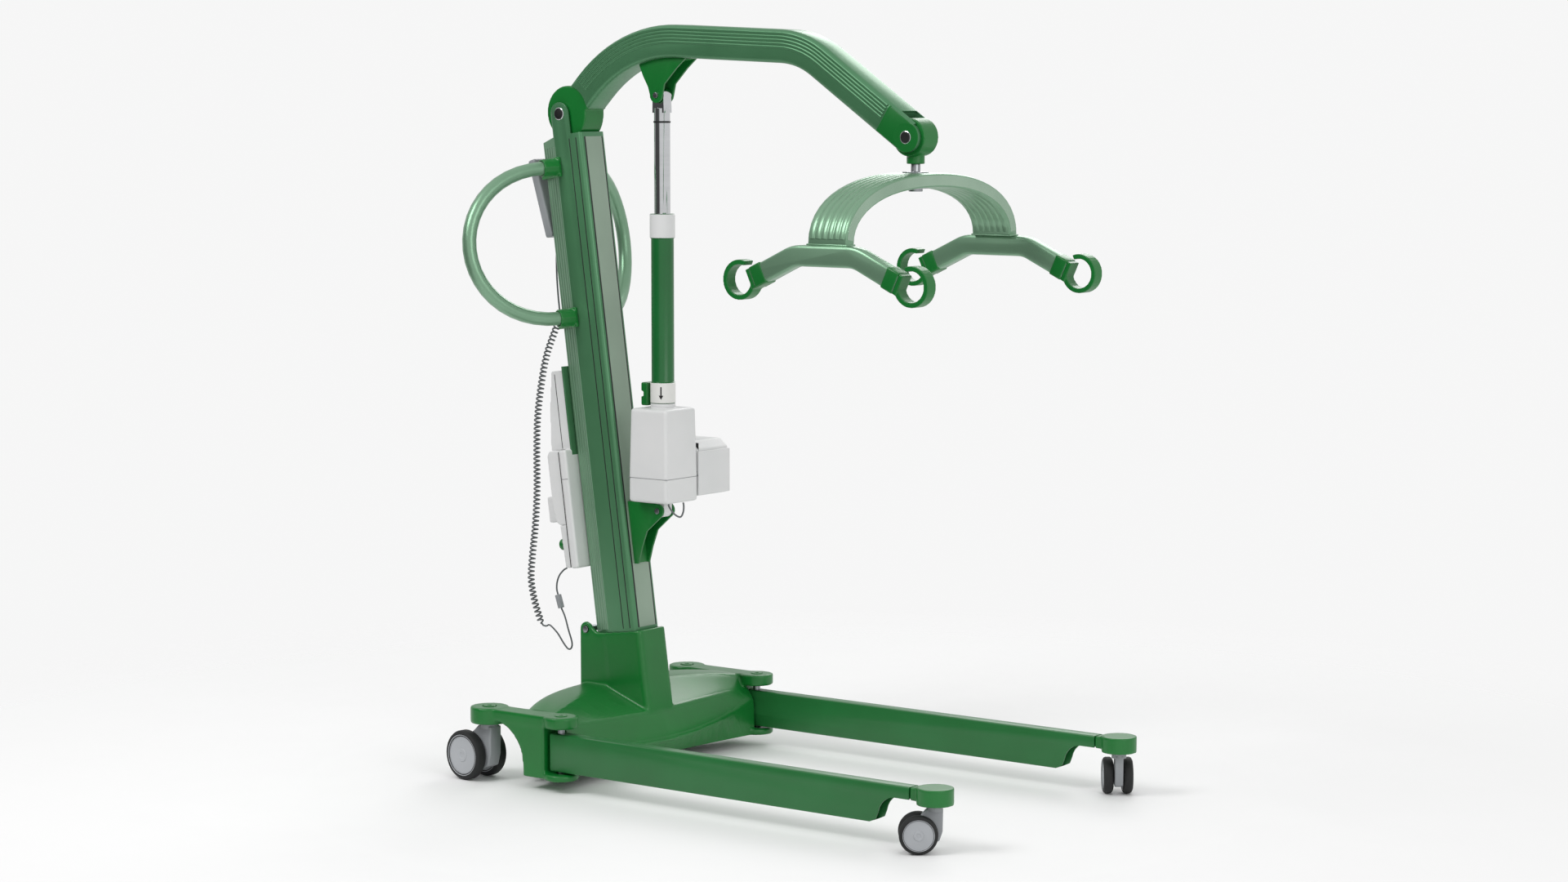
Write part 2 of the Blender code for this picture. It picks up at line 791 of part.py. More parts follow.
def build_brake(name, swivel, palette):
    """The pedal between the twin wheels: it presses down to lock them."""
    start = REAR_TRAIL + 0.36 * REAR_WHEEL_RADIUS + 0.003
    end = REAR_TRAIL + REAR_WHEEL_RADIUS + 0.013
    z = REAR_WHEEL_RADIUS
    outline = [
        (start, z - 0.008),
        (end - 0.012, z - 0.006),
        (end, z - 0.004),
        (end, z + 0.008),
        (end - 0.012, z + 0.008),
        (start, z + 0.010),
    ]
    return plate(f"brake_pedal_{name}", outline, REAR_WHEEL_GAP - 0.008, palette["black"], swivel)


# ---------------------------------------------------------------- mast and what it carries


def build_mast(palette, frame):
    length = ARM_PIVOT[1] + 0.030 - MAST_START
    data = new_curve("mast", mast_outline(), True, "2D")
    data.fill_mode = "NONE"
    data.extrude = length / 2
    mast = curve_to_mesh("mast", data, palette["profile"], frame)
    mast.data.transform(Matrix.Translation((0.0, 0.0, MAST_START + length / 2)))
    hollow(mast, MAST_WALL)
    tab = 0.0245
    top = ARM_PIVOT[1] + 0.040
    front = [
        (0.020, MAST_FRONT_TOP),
        (ARM_PIVOT[0] + tab, MAST_FRONT_TOP),
        (ARM_PIVOT[0] + tab, ARM_PIVOT[1]),
        *arc(ARM_PIVOT, tab, 0, 180, 10),
        (ARM_PIVOT[0] - tab, MAST_REAR_TOP),
        (-MAST_DEPTH - 0.020, MAST_REAR_TOP - 0.010),
        (-MAST_DEPTH - 0.020, top),
        (0.020, top),
    ]
    cut(mast, plate("top_cut", front, 0.120, parent=frame))
    cut(
        mast,
        cylinder(
            "bore",
            ARM_PIN_RADIUS + GAP,
            0.2,
            (ARM_PIVOT[0], 0.0, ARM_PIVOT[1]),
            "Y",
            parent=frame,
            sides=24,
        ),
    )
    pin = cylinder(
        "arm_pivot_pin",
        ARM_PIN_RADIUS,
        MAST_WIDTH + 0.002,
        (ARM_PIVOT[0], 0.0, ARM_PIVOT[1]),
        "Y",
        palette["steel"],
        frame,
        24,
    )
    bolt_width = MAST_WIDTH + 2 * SOCKET_WALL
    bolt = cylinder(
        "mast_cross_bolt",
        CROSS_BOLT_RADIUS,
        bolt_width,
        (CROSS_BOLT[0], 0.0, CROSS_BOLT[1]),
        "Y",
        palette["steel"],
        frame,
        20,
    )
    return mast, pin, bolt


def build_handle(side, name, palette, frame):
    """A half-oval grip tube between the upper and lower clamps, swept out and to the rear."""
    start_u = -MAST_SIDE - 0.006
    start_y = MAST_WIDTH / 2 + 0.0135
    out = Vector((-0.36, side * 0.93, 0.0)).normalized()
    middle = (HANDLE_TOP_W + HANDLE_BOTTOM_W) / 2
    half = (HANDLE_TOP_W - HANDLE_BOTTOM_W) / 2
    lead = 0.016
    steps = 22
    points = [Vector((start_u, side * start_y, HANDLE_TOP_W))]
    for i in range(steps + 1):
        angle = math.pi * (0.5 - i / steps)
        reach = lead + (HANDLE_REACH - lead) * math.cos(angle) ** 0.92 if i not in (0, steps) else lead
        rise = half * math.sin(angle)
        points.append(Vector((start_u, side * start_y, middle + rise)) + out * reach)
    points.append(Vector((start_u, side * start_y, HANDLE_BOTTOM_W)))
    return tube(f"handle_{name}", [tuple(p) for p in points], HANDLE_TUBE, palette["profile"], frame, 3)


def build_handle_clamp(name, height, palette, frame):
    """A clamp round the back of the mast with a socket for the tube on each side."""
    low, high = height - 0.021, height + 0.021
    outer = mast_outline(CLAMP_WALL)
    clamp = prism(name, outer, low, high, frame, palette["casting"])
    front_off = box(
        "front_off",
        (0.120, 0.140, 0.060),
        (-MAST_SIDE + 0.012 + 0.060, 0.0, height),
        parent=frame,
    )
    cut(clamp, front_off)
    out = Vector((-0.36, 0.93, 0.0)).normalized()
    for side in (-1, 1):
        place = Vector((-MAST_SIDE - 0.006, side * (MAST_WIDTH / 2 + 0.0135), height))
        direction = Vector((out.x, side * out.y, 0.0))
        sleeve = tube(
            "sleeve",
            [tuple(place - direction * 0.012), tuple(place + direction * 0.024)],
            0.0190,
            parent=frame,
        )
        join(clamp, sleeve)
    cut(clamp, prism("hole", mast_outline(GAP), low - 0.01, high + 0.01, frame))
    for side in (-1, 1):
        place = Vector((-MAST_SIDE - 0.006, side * (MAST_WIDTH / 2 + 0.0135), height))
        direction = Vector((out.x, side * out.y, 0.0))
        socket = tube(
            "socket",
            [tuple(place - direction * GAP), tuple(place + direction * 0.040)],
            HANDLE_TUBE + 0.0006,
            parent=frame,
        )
        cut(clamp, socket)
    return clamp


def build_lower_bracket(palette):
    """Two gusset plates on the front of the mast that carry the actuator's lower pin."""
    slope = math.tan(MAST_LEAN)

    def mast_front(z):
        return MAST_FOOT[0] - slope * (z - MAST_FOOT[1]) + 2 * GAP

    top, bottom = 0.5655, 0.434
    outline = [
        (mast_front(bottom), bottom),
        (mast_front(top), top),
        (ACTUATOR_X - 0.010, top),
        *arc((ACTUATOR_X, ACTUATOR_LOWER_Z), 0.0150, 80, -50, 6),
        (ACTUATOR_X - 0.030, ACTUATOR_LOWER_Z - 0.045),
        (ACTUATOR_X - 0.044, ACTUATOR_LOWER_Z - 0.082),
        (mast_front(bottom) + 0.010, bottom),
    ]
    middle = BRACKET_HALF - BRACKET_THICKNESS / 2
    bracket = plate(
        "actuator_lower_bracket",
        outline,
        BRACKET_THICKNESS,
        palette["profile"],
        offset=-middle,
    )
    far = plate("far", outline, BRACKET_THICKNESS, offset=middle)
    back_outline = [
        (mast_front(bottom), bottom + 0.001),
        (mast_front(top), top - 0.001),
        (mast_front(top) + 0.006, top - 0.001),
        (mast_front(bottom) + 0.006, bottom + 0.001),
    ]
    back = plate("back", back_outline, 2 * middle)
    join(bracket, back, far)
    cut(
        bracket,
        cylinder(
            "bore",
            ACTUATOR_PIN_RADIUS + GAP,
            0.1,
            (ACTUATOR_X, 0.0, ACTUATOR_LOWER_Z),
            "Y",
            sides=20,
        ),
    )
    pin = cylinder(
        "actuator_lower_pin",
        ACTUATOR_PIN_RADIUS,
        0.046,
        (ACTUATOR_X, 0.0, ACTUATOR_LOWER_Z),
        "Y",
        palette["steel"],
        sides=20,
    )
    return bracket, pin


# ---------------------------------------------------------------- arm


def arm_path(pivot):
    """The arm's centre line: up from the knuckle, level, then down to the hanger pin."""
    x = pivot.x + KNUCKLE_FORWARD
    z = pivot.z + 0.0034
    points = [(x, z)]

    def straight(length, angle):
        last = points[-1]
        points.append((last[0] + length * math.cos(angle), last[1] + length * math.sin(angle)))

    def bend(radius, start, end, count):
        for i in range(count):
            middle = start + (end - start) * (i + 0.5) / count
            straight(2 * radius * math.sin(abs(end - start) / (2 * count)), middle)

    straight(ARM_ROOT_LENGTH, ARM_RISE)
    bend(ARM_ROOT_RADIUS, ARM_RISE, ARM_LEVEL, 12)
    straight(ARM_LEVEL_LENGTH, ARM_LEVEL)
    bend(ARM_TIP_RADIUS, ARM_LEVEL, ARM_DROP, 8)
    straight(ARM_TIP_LENGTH, ARM_DROP)
    return points


def build_arm(palette, pivot):
    path = arm_path(pivot)
    knuckle_centre = Vector((path[0][0], 0.0, path[0][1]))
    tip = path[-1]
    rising = Vector((math.cos(ARM_RISE), 0.0, math.sin(ARM_RISE)))
    falling = Vector((math.cos(ARM_DROP), 0.0, math.sin(ARM_DROP)))
    profile = rounded_rectangle(ARM_WIDTH, ARM_HEIGHT, 0.010, 3)
    start = knuckle_centre + rising * 0.030
    run = [tuple(start)] + [(x, 0.0, z) for x, z in path[1:-1]]
    end = Vector((tip[0], 0.0, tip[1]))
    run.append(tuple(end))

    arm = hollow(sweep("arm", run, profile, palette["profile"], capped=False), ARM_WALL)
    cope = cylinder("cope", KNUCKLE_RADIUS + GAP, 0.100, tuple(knuckle_centre), "Y", sides=48)
    cut(arm, cope)
    cheeks = cylinder("cheeks", ARM_TIP_ROUND, ARM_WIDTH, tuple(end), "Y")
    cheek_block = box(
        "cheek_block",
        (0.060, ARM_WIDTH - 0.001, 2 * ARM_TIP_ROUND - 0.001),
        (0.0, 0.0, 0.0),
    )
    cheek_block.matrix_world = Matrix.Translation(end - falling * 0.034) @ Matrix.Rotation(
        -ARM_DROP,
        4,
        "Y",
    )
    join(cheeks, cheek_block)
    join(arm, cheeks)
    slot = box("slot", (0.140, 2 * HUB_HALF_WIDTH + 0.002, 0.120), (0.0, 0.0, 0.0))
    slot.matrix_world = Matrix.Translation(end + falling * 0.028) @ Matrix.Rotation(-ARM_DROP, 4, "Y")
    cut(arm, slot)
    cut(arm, cylinder("bore", HUB_PIN_RADIUS + GAP, 0.2, tuple(end), "Y", sides=20))

    knuckle = cylinder(
        "arm_knuckle",
        KNUCKLE_RADIUS,
        2 * KNUCKLE_HALF_WIDTH,
        tuple(knuckle_centre),
        "Y",
        palette["casting"],
        sides=48,
    )
    spigot = box(
        "spigot",
        (0.070, ARM_WIDTH - 2 * ARM_WALL - 0.0012, ARM_HEIGHT - 2 * ARM_WALL - 0.0012),
        (0.0, 0.0, 0.0),
    )
    spigot.matrix_world = Matrix.Translation(knuckle_centre + rising * 0.042) @ Matrix.Rotation(
        -ARM_RISE,
        4,
        "Y",
    )
    rounding = spigot.modifiers.new("Bevel", "BEVEL")
    rounding.width = 0.0068
    rounding.segments = 3
    bake(spigot)
    join(knuckle, spigot)
    cut(knuckle, cylinder("bore", ARM_PIN_RADIUS + GAP, 0.2, tuple(pivot), "Y", sides=24))
    at = (pivot[0], pivot[2])
    swing = [*arc(at, KNUCKLE_RELIEF, -60, 8, 14), *arc(at, 0.095, 8, -60, 4)]
    cut(knuckle, plate("relief", swing, 0.080))

    hub_pin = cylinder(
        "hub_pin",
        HUB_PIN_RADIUS,
        ARM_WIDTH + 0.001,
        tuple(end),
        "Y",
        palette["steel"],
        sides=20,
    )
    return arm, knuckle, hub_pin, end, run


def build_gusset(palette, run):
    """The two plates under the arm that carry the actuator's upper pin."""
    outline = [
        (ACTUATOR_X - 0.060, 1.520),
        (ACTUATOR_X - 0.034, 1.462),
        (ACTUATOR_X - 0.021, 1.440),
        *arc((ACTUATOR_X, ACTUATOR_UPPER_Z), 0.0160, 175, 355, 8),
        (ACTUATOR_X + 0.022, 1.446),
        (ACTUATOR_X + 0.054, 1.478),
        (ACTUATOR_X + 0.078, 1.498),
        (ACTUATOR_X + 0.078, 1.520),
    ]
    middle = BRACKET_HALF - BRACKET_THICKNESS / 2
    gusset = plate("arm_gusset", outline, BRACKET_THICKNESS, palette["profile"], offset=-middle)
    far = plate("far", outline, BRACKET_THICKNESS, offset=middle)
    top = plate(
        "top",
        [
            (ACTUATOR_X - 0.058, 1.519),
            (ACTUATOR_X - 0.040, 1.474),
            (ACTUATOR_X + 0.010, 1.486),
            (ACTUATOR_X + 0.076, 1.497),
            (ACTUATOR_X + 0.076, 1.519),
        ],
        2 * middle,
    )
    join(gusset, top, far)
    profile = rounded_rectangle(ARM_WIDTH + 2 * GAP, ARM_HEIGHT + 2 * GAP, 0.010, 3)
    cut(gusset, sweep("arm_space", run, profile))
    cut(
        gusset,
        cylinder(
            "bore",
            ACTUATOR_PIN_RADIUS + GAP,
            0.1,
            (ACTUATOR_X, 0.0, ACTUATOR_UPPER_Z),
            "Y",
            sides=20,
        ),
    )
    pin = cylinder(
        "rod_pin",
        ACTUATOR_PIN_RADIUS,
        0.046,
        (ACTUATOR_X, 0.0, ACTUATOR_UPPER_Z),
        "Y",
        palette["steel"],
        sides=20,
    )
    return gusset, pin


# ---------------------------------------------------------------- actuator


def build_actuator(palette):
    axis = add_empty("actuator_axis", (ACTUATOR_X, 0.0, 0.0))
    housing_height = HOUSING_TOP - HOUSING_BOTTOM
    housing = box(
        "actuator_housing",
        (HOUSING_LENGTH, HOUSING_WIDTH, housing_height),
        (0.0, 0.0, (HOUSING_TOP + HOUSING_BOTTOM) / 2),
        palette["housing"],
        axis,
        bevel=0.006,
    )
    bake(housing)
    tab = plate(
        "tab",
        [
            (-0.014, HOUSING_BOTTOM + 0.01),
            (-0.014, ACTUATOR_LOWER_Z),
            *arc((0.0, ACTUATOR_LOWER_Z), 0.014, 200, 340, 8),
            (0.0145, HOUSING_BOTTOM + 0.01),
        ],
        0.026,
        parent=axis,
    )
    neck = cylinder("neck", 0.0265, 0.012, (0.0, 0.0, HOUSING_TOP + 0.004), parent=axis)
    join(housing, tab, neck)
    cut(
        housing,
        cylinder(
            "bore",
            ACTUATOR_PIN_RADIUS + GAP,
            0.1,
            (0.0, 0.0, ACTUATOR_LOWER_Z),
            "Y",
            parent=axis,
            sides=20,
        ),
    )

    motor_start = HOUSING_WIDTH / 2 + GAP
    motor = box(
        "actuator_motor",
        (0.100, 0.160 - motor_start, 0.116),
        (-0.001, (0.160 + motor_start) / 2, 0.636),
        palette["housing"],
        axis,
        bevel=0.006,
    )
    bake(motor)
    cut(motor, crown_cutter(axis))

    tube_low = HOUSING_TOP + 0.010 + GAP
    outer = lathe(
        "actuator_tube",
        [
            (ROD_RADIUS + 0.0006, 1.1755),
            (COLLAR_RADIUS, 1.1755),
            (COLLAR_RADIUS, 1.1250),
            (TUBE_RADIUS, 1.1240),
            (TUBE_RADIUS, 0.8230),
            (COLLAR_RADIUS, 0.8220),
            (COLLAR_RADIUS, tube_low),
            (ROD_RADIUS + 0.0006, tube_low),
            (ROD_RADIUS + 0.0006, 1.1755),
        ],
        palette["profile"],
        axis,
    )
    release = box(
        "lowering_release",
        (0.018, 0.034, 0.049),
        (-0.038, 0.0, 0.7960),
        palette["casting"],
        axis,
        bevel=0.003,
    )
    bake(release)
    notch = plate(
        "notch",
        [(-0.060, 0.786), (-0.040, 0.792), (-0.040, 0.801), (-0.060, 0.807)],
        0.060,
        parent=axis,
    )
    cut(release, notch)

    rod = cylinder(
        "actuator_rod",
        ROD_RADIUS,
        ROD_TOP - ROD_BOTTOM,
        (0.0, 0.0, (ROD_TOP + ROD_BOTTOM) / 2),
        material=palette["chrome"],
        parent=axis,
    )
    eye = plate("eye", eye_outline(), 0.026, parent=axis)
    join(rod, eye)
    return axis, housing, motor, outer, release, rod


def crown_cutter(axis):
    """The sloping top of the motor's cover."""
    outline = [(0.020, 0.700), (0.060, 0.668), (0.060, 0.710), (0.020, 0.710)]
    return plate("crown", outline, 0.300, parent=axis, offset=0.1)


def eye_outline():
    """The rod's end: a hook round the upper pin, open to the rear, so that the pin's arc has room."""
    centre = (0.0, ACTUATOR_UPPER_Z)
    seat = ACTUATOR_PIN_RADIUS + 0.0018
    forward = (0.0034, ACTUATOR_UPPER_Z)
    return [
        (-0.0155, 1.386),
        (0.0155, 1.386),
        *arc(centre, 0.0155, -20, 100, 8),
        (-0.0150, ACTUATOR_UPPER_Z + 0.0150),
        (-0.0150, ACTUATOR_UPPER_Z + seat + 0.001),
        *arc(forward, seat, 95, -95, 10),
        (-0.0150, ACTUATOR_UPPER_Z - seat - 0.001),
    ]


# ---------------------------------------------------------------- spreader


def build_hub(palette, tip):
    hub = cylinder(
        "swivel_hub",
        HUB_RADIUS,
        2 * HUB_HALF_WIDTH,
        tuple(tip),
        "Y",
        palette["casting"],
        sides=40,
    )
    collar_height = 0.030
    collar = cylinder("collar", 0.018, collar_height, (tip.x, 0.0, COLLAR_BOTTOM + collar_height / 2))
    join(hub, collar)
    cut(hub, cylinder("pin_bore", HUB_PIN_RADIUS + GAP, 0.2, tuple(tip), "Y", sides=20))
    cut(
        hub,
        cylinder(
            "bolt_bore",
            SWIVEL_BOLT_RADIUS + GAP,
            0.036,
            (tip.x, 0.0, COLLAR_BOTTOM + 0.010),
            sides=20,
        ),
    )
    return hub


def arch_path(centre_x):
    """Half the arch's middle line, a flattened oval from its top down to its foot on a bar."""
    half_span = ARCH_SPAN / 2
    foot_z = BAR_TOP + GAP
    rise = ARCH_TOP - ARCH_THICKNESS / 2 - foot_z
    power = 2 / 2.25
    points = []
    steps = 14
    for i in range(steps + 1):
        angle = math.pi / 2 * (i / steps) ** 1.15
        y = half_span * math.sin(angle) ** power
        z = foot_z + rise * max(math.cos(angle), 0.0) ** power
        points.append((centre_x, y, z))
    return points


def build_arch(palette, centre_x):
    half = arch_path(centre_x)
    mirrored = [(x, -y, z) for x, y, z in reversed(half[1:])]
    profile = rounded_rectangle(ARCH_WIDTH, ARCH_THICKNESS, 0.004, 2)
    arch = hollow(
        sweep("spreader_arch", mirrored + half, profile, palette["profile"], capped=False),
        0.004,
    )
    boss = cylinder("boss", 0.026, ARCH_THICKNESS - 0.001, (centre_x, 0.0, ARCH_TOP - ARCH_THICKNESS / 2))
    join(arch, boss)
    level = box("level", (0.30, 1.2, 0.1), (centre_x, 0.0, BAR_TOP + GAP - 0.05))
    cut(arch, level)
    cut(arch, cylinder("bore", SWIVEL_BOLT_RADIUS + GAP, 0.1, (centre_x, 0.0, ARCH_TOP), sides=20))
    return arch


def build_swivel_bolt(palette, centre_x):
    """The spindle that turns in the hub's collar, with its washers and nut on the arch."""
    top = COLLAR_BOTTOM + 0.020
    low = ARCH_TOP - ARCH_THICKNESS - 0.009
    radius = SWIVEL_BOLT_RADIUS
    bolt = lathe(
        "swivel_bolt",
        [
            (0.0, top),
            (radius, top),
            (radius, ARCH_TOP + 0.003 + GAP),
            (0.026, ARCH_TOP + 0.003),
            (0.026, ARCH_TOP + GAP),
            (radius, ARCH_TOP + GAP),
            (radius, ARCH_TOP - ARCH_THICKNESS - GAP),
            (0.026, ARCH_TOP - ARCH_THICKNESS - GAP),
            (0.026, ARCH_TOP - ARCH_THICKNESS - 0.003),
            (0.014, ARCH_TOP - ARCH_THICKNESS - 0.003 - GAP),
            (0.014, low),
            (0.0, low),
        ],
        palette["steel"],
        steps=24,
    )
    bolt.location = (centre_x, 0.0, 0.0)
    return bolt


def bar_half_path(y, centre_x):
    """From the middle of the bar out to its hook: level, then bent down."""
    middle_z = BAR_TOP - BAR_HEIGHT / 2
    radius = 0.070
    end_x = HOOK_SPACING / 2 - HOOK_REACH
    end_z = HOOK_Z + HOOK_RISE
    bend_drop = radius * (1 - math.cos(BAR_SLOPE))
    bend_run = radius * math.sin(BAR_SLOPE)
    straight = (middle_z - bend_drop - end_z) / math.tan(BAR_SLOPE)
    flat = end_x - straight - bend_run
    points = [(centre_x + flat, y, middle_z)]
    for i in range(1, 7):
        angle = BAR_SLOPE * i / 6
        drop = radius * (1 - math.cos(angle))
        points.append((centre_x + flat + radius * math.sin(angle), y, middle_z - drop))
    points.append((centre_x + end_x, y, end_z))
    return points


def build_bar(side, name, palette, centre_x):
    y = side * BAR_SPACING / 2
    half = bar_half_path(y, centre_x)
    mirrored = [(2 * centre_x - x, y, z) for x, y, z in reversed(half)]
    profile = rounded_rectangle(BAR_THICKNESS, BAR_HEIGHT, 0.006, 2)
    return hollow(
        sweep(f"spreader_bar_{name}", mirrored + half, profile, palette["profile"], capped=False),
        BAR_WALL,
    )


def build_hook(side, end, name, palette, centre_x):
    """An open band for a sling's loop, with a plug that fills the end of its bar."""
    inner = HOOK_RADIUS - HOOK_BAND
    outline = [
        *arc((0.0, 0.0), HOOK_RADIUS, -168, 112, 24),
        *arc((0.0, 0.0), inner, 112, -168, 18),
    ]
    hook = plate(name, outline, HOOK_WIDTH, palette["casting"])
    bar_end = Matrix.Translation((-HOOK_REACH, 0.0, HOOK_RISE)) @ Matrix.Rotation(BAR_SLOPE, 4, "Y")
    cheek = box("cheek", (0.0090, BAR_THICKNESS, BAR_HEIGHT), (0.0, 0.0, 0.0))
    cheek.data.transform(bar_end @ Matrix.Translation((GAP + 0.0045, 0.0, 0.0)))
    plug_size = (0.034, BAR_THICKNESS - 2 * BAR_WALL - 0.0040, BAR_HEIGHT - 2 * BAR_WALL - 0.0040)
    plug = box("plug", plug_size, (0.0, 0.0, 0.0))
    plug.data.transform(bar_end @ Matrix.Translation((-0.0140, 0.0, 0.0)))
    join(hook, cheek, plug)
    hook.location = (centre_x + end * HOOK_SPACING / 2, side * BAR_SPACING / 2, HOOK_Z)
    if end < 0:
        hook.rotation_euler = (0.0, 0.0, math.pi)
    return hook


# ---------------------------------------------------------------- controls and cords


def build_controls(palette, frame):
    """The control box on the back of the mast, the battery that comes off its back, and the stop knob."""
    rear = -MAST_DEPTH - GAP
    shell = rear - BOX_DEPTH
    control = box(
        "control_box",
        (BOX_DEPTH, BOX_WIDTH, BOX_HIGH - BOX_LOW),
        (rear - BOX_DEPTH / 2, 0.0, (BOX_LOW + BOX_HIGH) / 2),
        palette["housing"],
        frame,
        bevel=0.004,
    )
    bake(control)
    foot_high = BOX_LOW + 0.094
    foot_outline = [
        (shell + 0.004, BOX_LOW + 0.002),
        (shell + 0.004, foot_high),
        (shell - 0.0205, foot_high),
        (shell - 0.0170, BOX_LOW + 0.002),
    ]
    foot = plate("foot", foot_outline, BOX_WIDTH - 0.006, parent=frame)
    neck_outline = [
        (rear, BOX_HIGH - 0.004),
        (rear, NECK_HIGH),
        (rear - 0.0350, NECK_HIGH),
        (rear - 0.0510, NECK_HIGH - 0.082),
        (rear - 0.0600, BOX_HIGH + GAP),
        (shell + 0.002, BOX_HIGH + GAP),
        (shell + 0.002, BOX_HIGH - 0.004),
    ]
    neck = plate("neck", neck_outline, 0.072, parent=frame)
    join(control, foot, neck)

    back = shell - GAP
    low = foot_high + GAP
    outline = [
        (back, low),
        (back, BOX_HIGH),
        (back - 0.0290, BOX_HIGH),
        (back - 0.0350, BOX_HIGH - 0.0100),
        (back - 0.0350, low + 0.0320),
        (back - 0.0280, low + 0.0060),
        (back - 0.0200, low),
    ]
    battery = plate("battery_pack", outline, BOX_WIDTH - 0.006, palette["housing"], frame)
    grip = box(
        "grip",
        (0.0420, 0.0600, 0.0560),
        (back - 0.0520, 0.0, low + 0.0340),
        parent=frame,
        bevel=0.003,
    )
    bake(grip)
    join(battery, grip)

    knob_base = shell - 0.0182
    knob_z = BOX_LOW + 0.052
    cut(
        control,
        cylinder("knob_hole", 0.0076, 0.016, (knob_base, -0.035, knob_z), "X", parent=frame, sides=24),
    )
    stop = lathe(
        "stop_button",
        [
            (0.0, 0.0225),
            (0.008, 0.0220),
            (0.0120, 0.0195),
            (0.0130, 0.0150),
            (0.0120, 0.0100),
            (0.0070, 0.0080),
            (0.0070, 0.0),
            (0.0, 0.0),
        ],
        palette["casting"],
        steps=24,
    )
    turn = Matrix.Rotation(-math.pi / 2, 4, "Y")
    stop.data.transform(Matrix.Translation((knob_base, -0.035, knob_z)) @ turn)
    stop.parent = frame
    return control, battery, stop


def build_handset(palette, frame):
    """The hand control on its hook at the back of the upper clamp, and its two keys."""
    hanger = add_empty("handset_frame", (-0.6300, 0.0, 1.2015), (0.0, math.radians(-17.0), 0.0))
    body = box("handset", (0.020, 0.044, 0.172), (0.0, 0.0, 0.0), palette["grey"], hanger, bevel=0.004)
    bake(body)
    hook_face = -MAST_DEPTH - CLAMP_WALL - GAP
    hook = box(
        "handset_hook",
        (0.003, 0.030, 0.044),
        (hook_face - 0.0015, 0.0, HANDLE_TOP_W + 0.002),
        palette["casting"],
        frame,
    )
    tongue = box("tongue", (0.013, 0.022, 0.006), (hook_face - 0.0075, 0.0, HANDLE_TOP_W), parent=frame)
    join(hook, tongue)
    keys = []
    for name, height in (("handset_button_up", 0.040), ("handset_button_down", 0.012)):
        well = box("well", (0.010, 0.0206, 0.0186), (-0.0105, 0.0, height), parent=hanger)
        cut(body, well)
        key = box(
            name,
            (0.0050, 0.020, 0.018),
            (-0.0096, 0.0, height),
            palette["black"],
            hanger,
            bevel=0.0015,
        )
        keys.append(bake(key))
    return hanger, body, hook, keys


def smooth_route(points, spacing):
    """Places at even spacing on a smooth curve through the route's points."""
    vectors = [Vector(p) for p in points]
    dense = []
    for i in range(len(vectors) - 1):
        before = vectors[i - 1] if i else 2 * vectors[0] - vectors[1]
        after = vectors[i + 2] if i + 2 < len(vectors) else 2 * vectors[-1] - vectors[-2]
        a, b = vectors[i], vectors[i + 1]
        for step in range(24):
            t = step / 24
            dense.append(
                0.5
                * (
                    2 * a
                    + (b - before) * t
                    + (2 * before - 5 * a + 4 * b - after) * t**2
                    + (3 * a - before - 3 * b + after) * t**3
                )
            )
    dense.append(vectors[-1])
    length = sum((q - p).length for p, q in zip(dense, dense[1:]))
    count = max(2, round(length / spacing))
    placed = [dense[0]]
    walked = 0.0
    for p, q in zip(dense, dense[1:]):
        step = (q - p).length
        while len(placed) < count and walked + step >= length * len(placed) / count:
            placed.append(p.lerp(q, (length * len(placed) / count - walked) / step))
        walked += step
    placed.append(dense[-1])
    return [tuple(p) for p in placed]


LEAD_RADIUS = 0.0019
COIL_RADIUS = 0.0083
HANDSET_LEAD = [
    (-0.6035, 0.0, 1.1170),
    (-0.6020, 0.0, 1.1050),
    (-0.6030, 0.0, 1.0700),
    (-0.6020, 0.0, 1.0300),
    (-0.5985, 0.0, 0.9900),
    (-0.5950, 0.0, 0.9600),
    (-0.5960, 0.0, 0.9420),
]
COILED_CORD = [
    (-0.5975, 0.0, 0.9410),
    (-0.6060, 0.0, 0.9220),
    (-0.6320, 0.0, 0.8650),
    (-0.6475, 0.0, 0.8060),
    (-0.6600, 0.0, 0.7290),
    (-0.6633, 0.0, 0.6510),
    (-0.6633, 0.0, 0.5730),
    (-0.6684, 0.0, 0.4960),
    (-0.6790, 0.0, 0.4160),
    (-0.6822, 0.0, 0.3710),
    (-0.6745, 0.0, 0.3300),
    (-0.6600, 0.0, 0.2915),
    (-0.6500, 0.0, 0.2740),
]
RETURN_LEAD = [
    (-0.6485, 0.0, 0.2722),
    (-0.6390, 0.0, 0.2715),
    (-0.6287, 0.0, 0.2745),
    (-0.6074, 0.0, 0.2593),
    (-0.5900, 0.0, 0.2390),
    (-0.5770, 0.0, 0.2275),
    (-0.5680, 0.0, 0.2300),
    (-0.5660, 0.0, 0.2430),
    (-0.5760, 0.0, 0.2700),
    (-0.5855, 0.0, 0.2972),
    (-0.5955, 0.0, 0.3150),
]
BOX_LEAD = [
    (-0.6052, 0.0, 0.3440),
    (-0.6085, 0.0, 0.3560),
    (-0.6070, 0.0, 0.3720),
    (-0.6000, 0.0, 0.3870),
    (-0.5880, 0.0, 0.3990),
    (-0.5790, 0.0, 0.4040),
]
MOTOR_CABLE = [
    (-0.2680, -0.0330, 0.5690),
    (-0.2650, -0.0310, 0.5600),
    (-0.2630, -0.0200, 0.5480),
    (-0.2620, -0.0080, 0.5410),
    (-0.2620, 0.0020, 0.5400),
    (-0.2620, 0.0090, 0.5490),
    (-0.2625, 0.0115, 0.5600),
    (-0.2640, 0.0118, 0.5690),
]


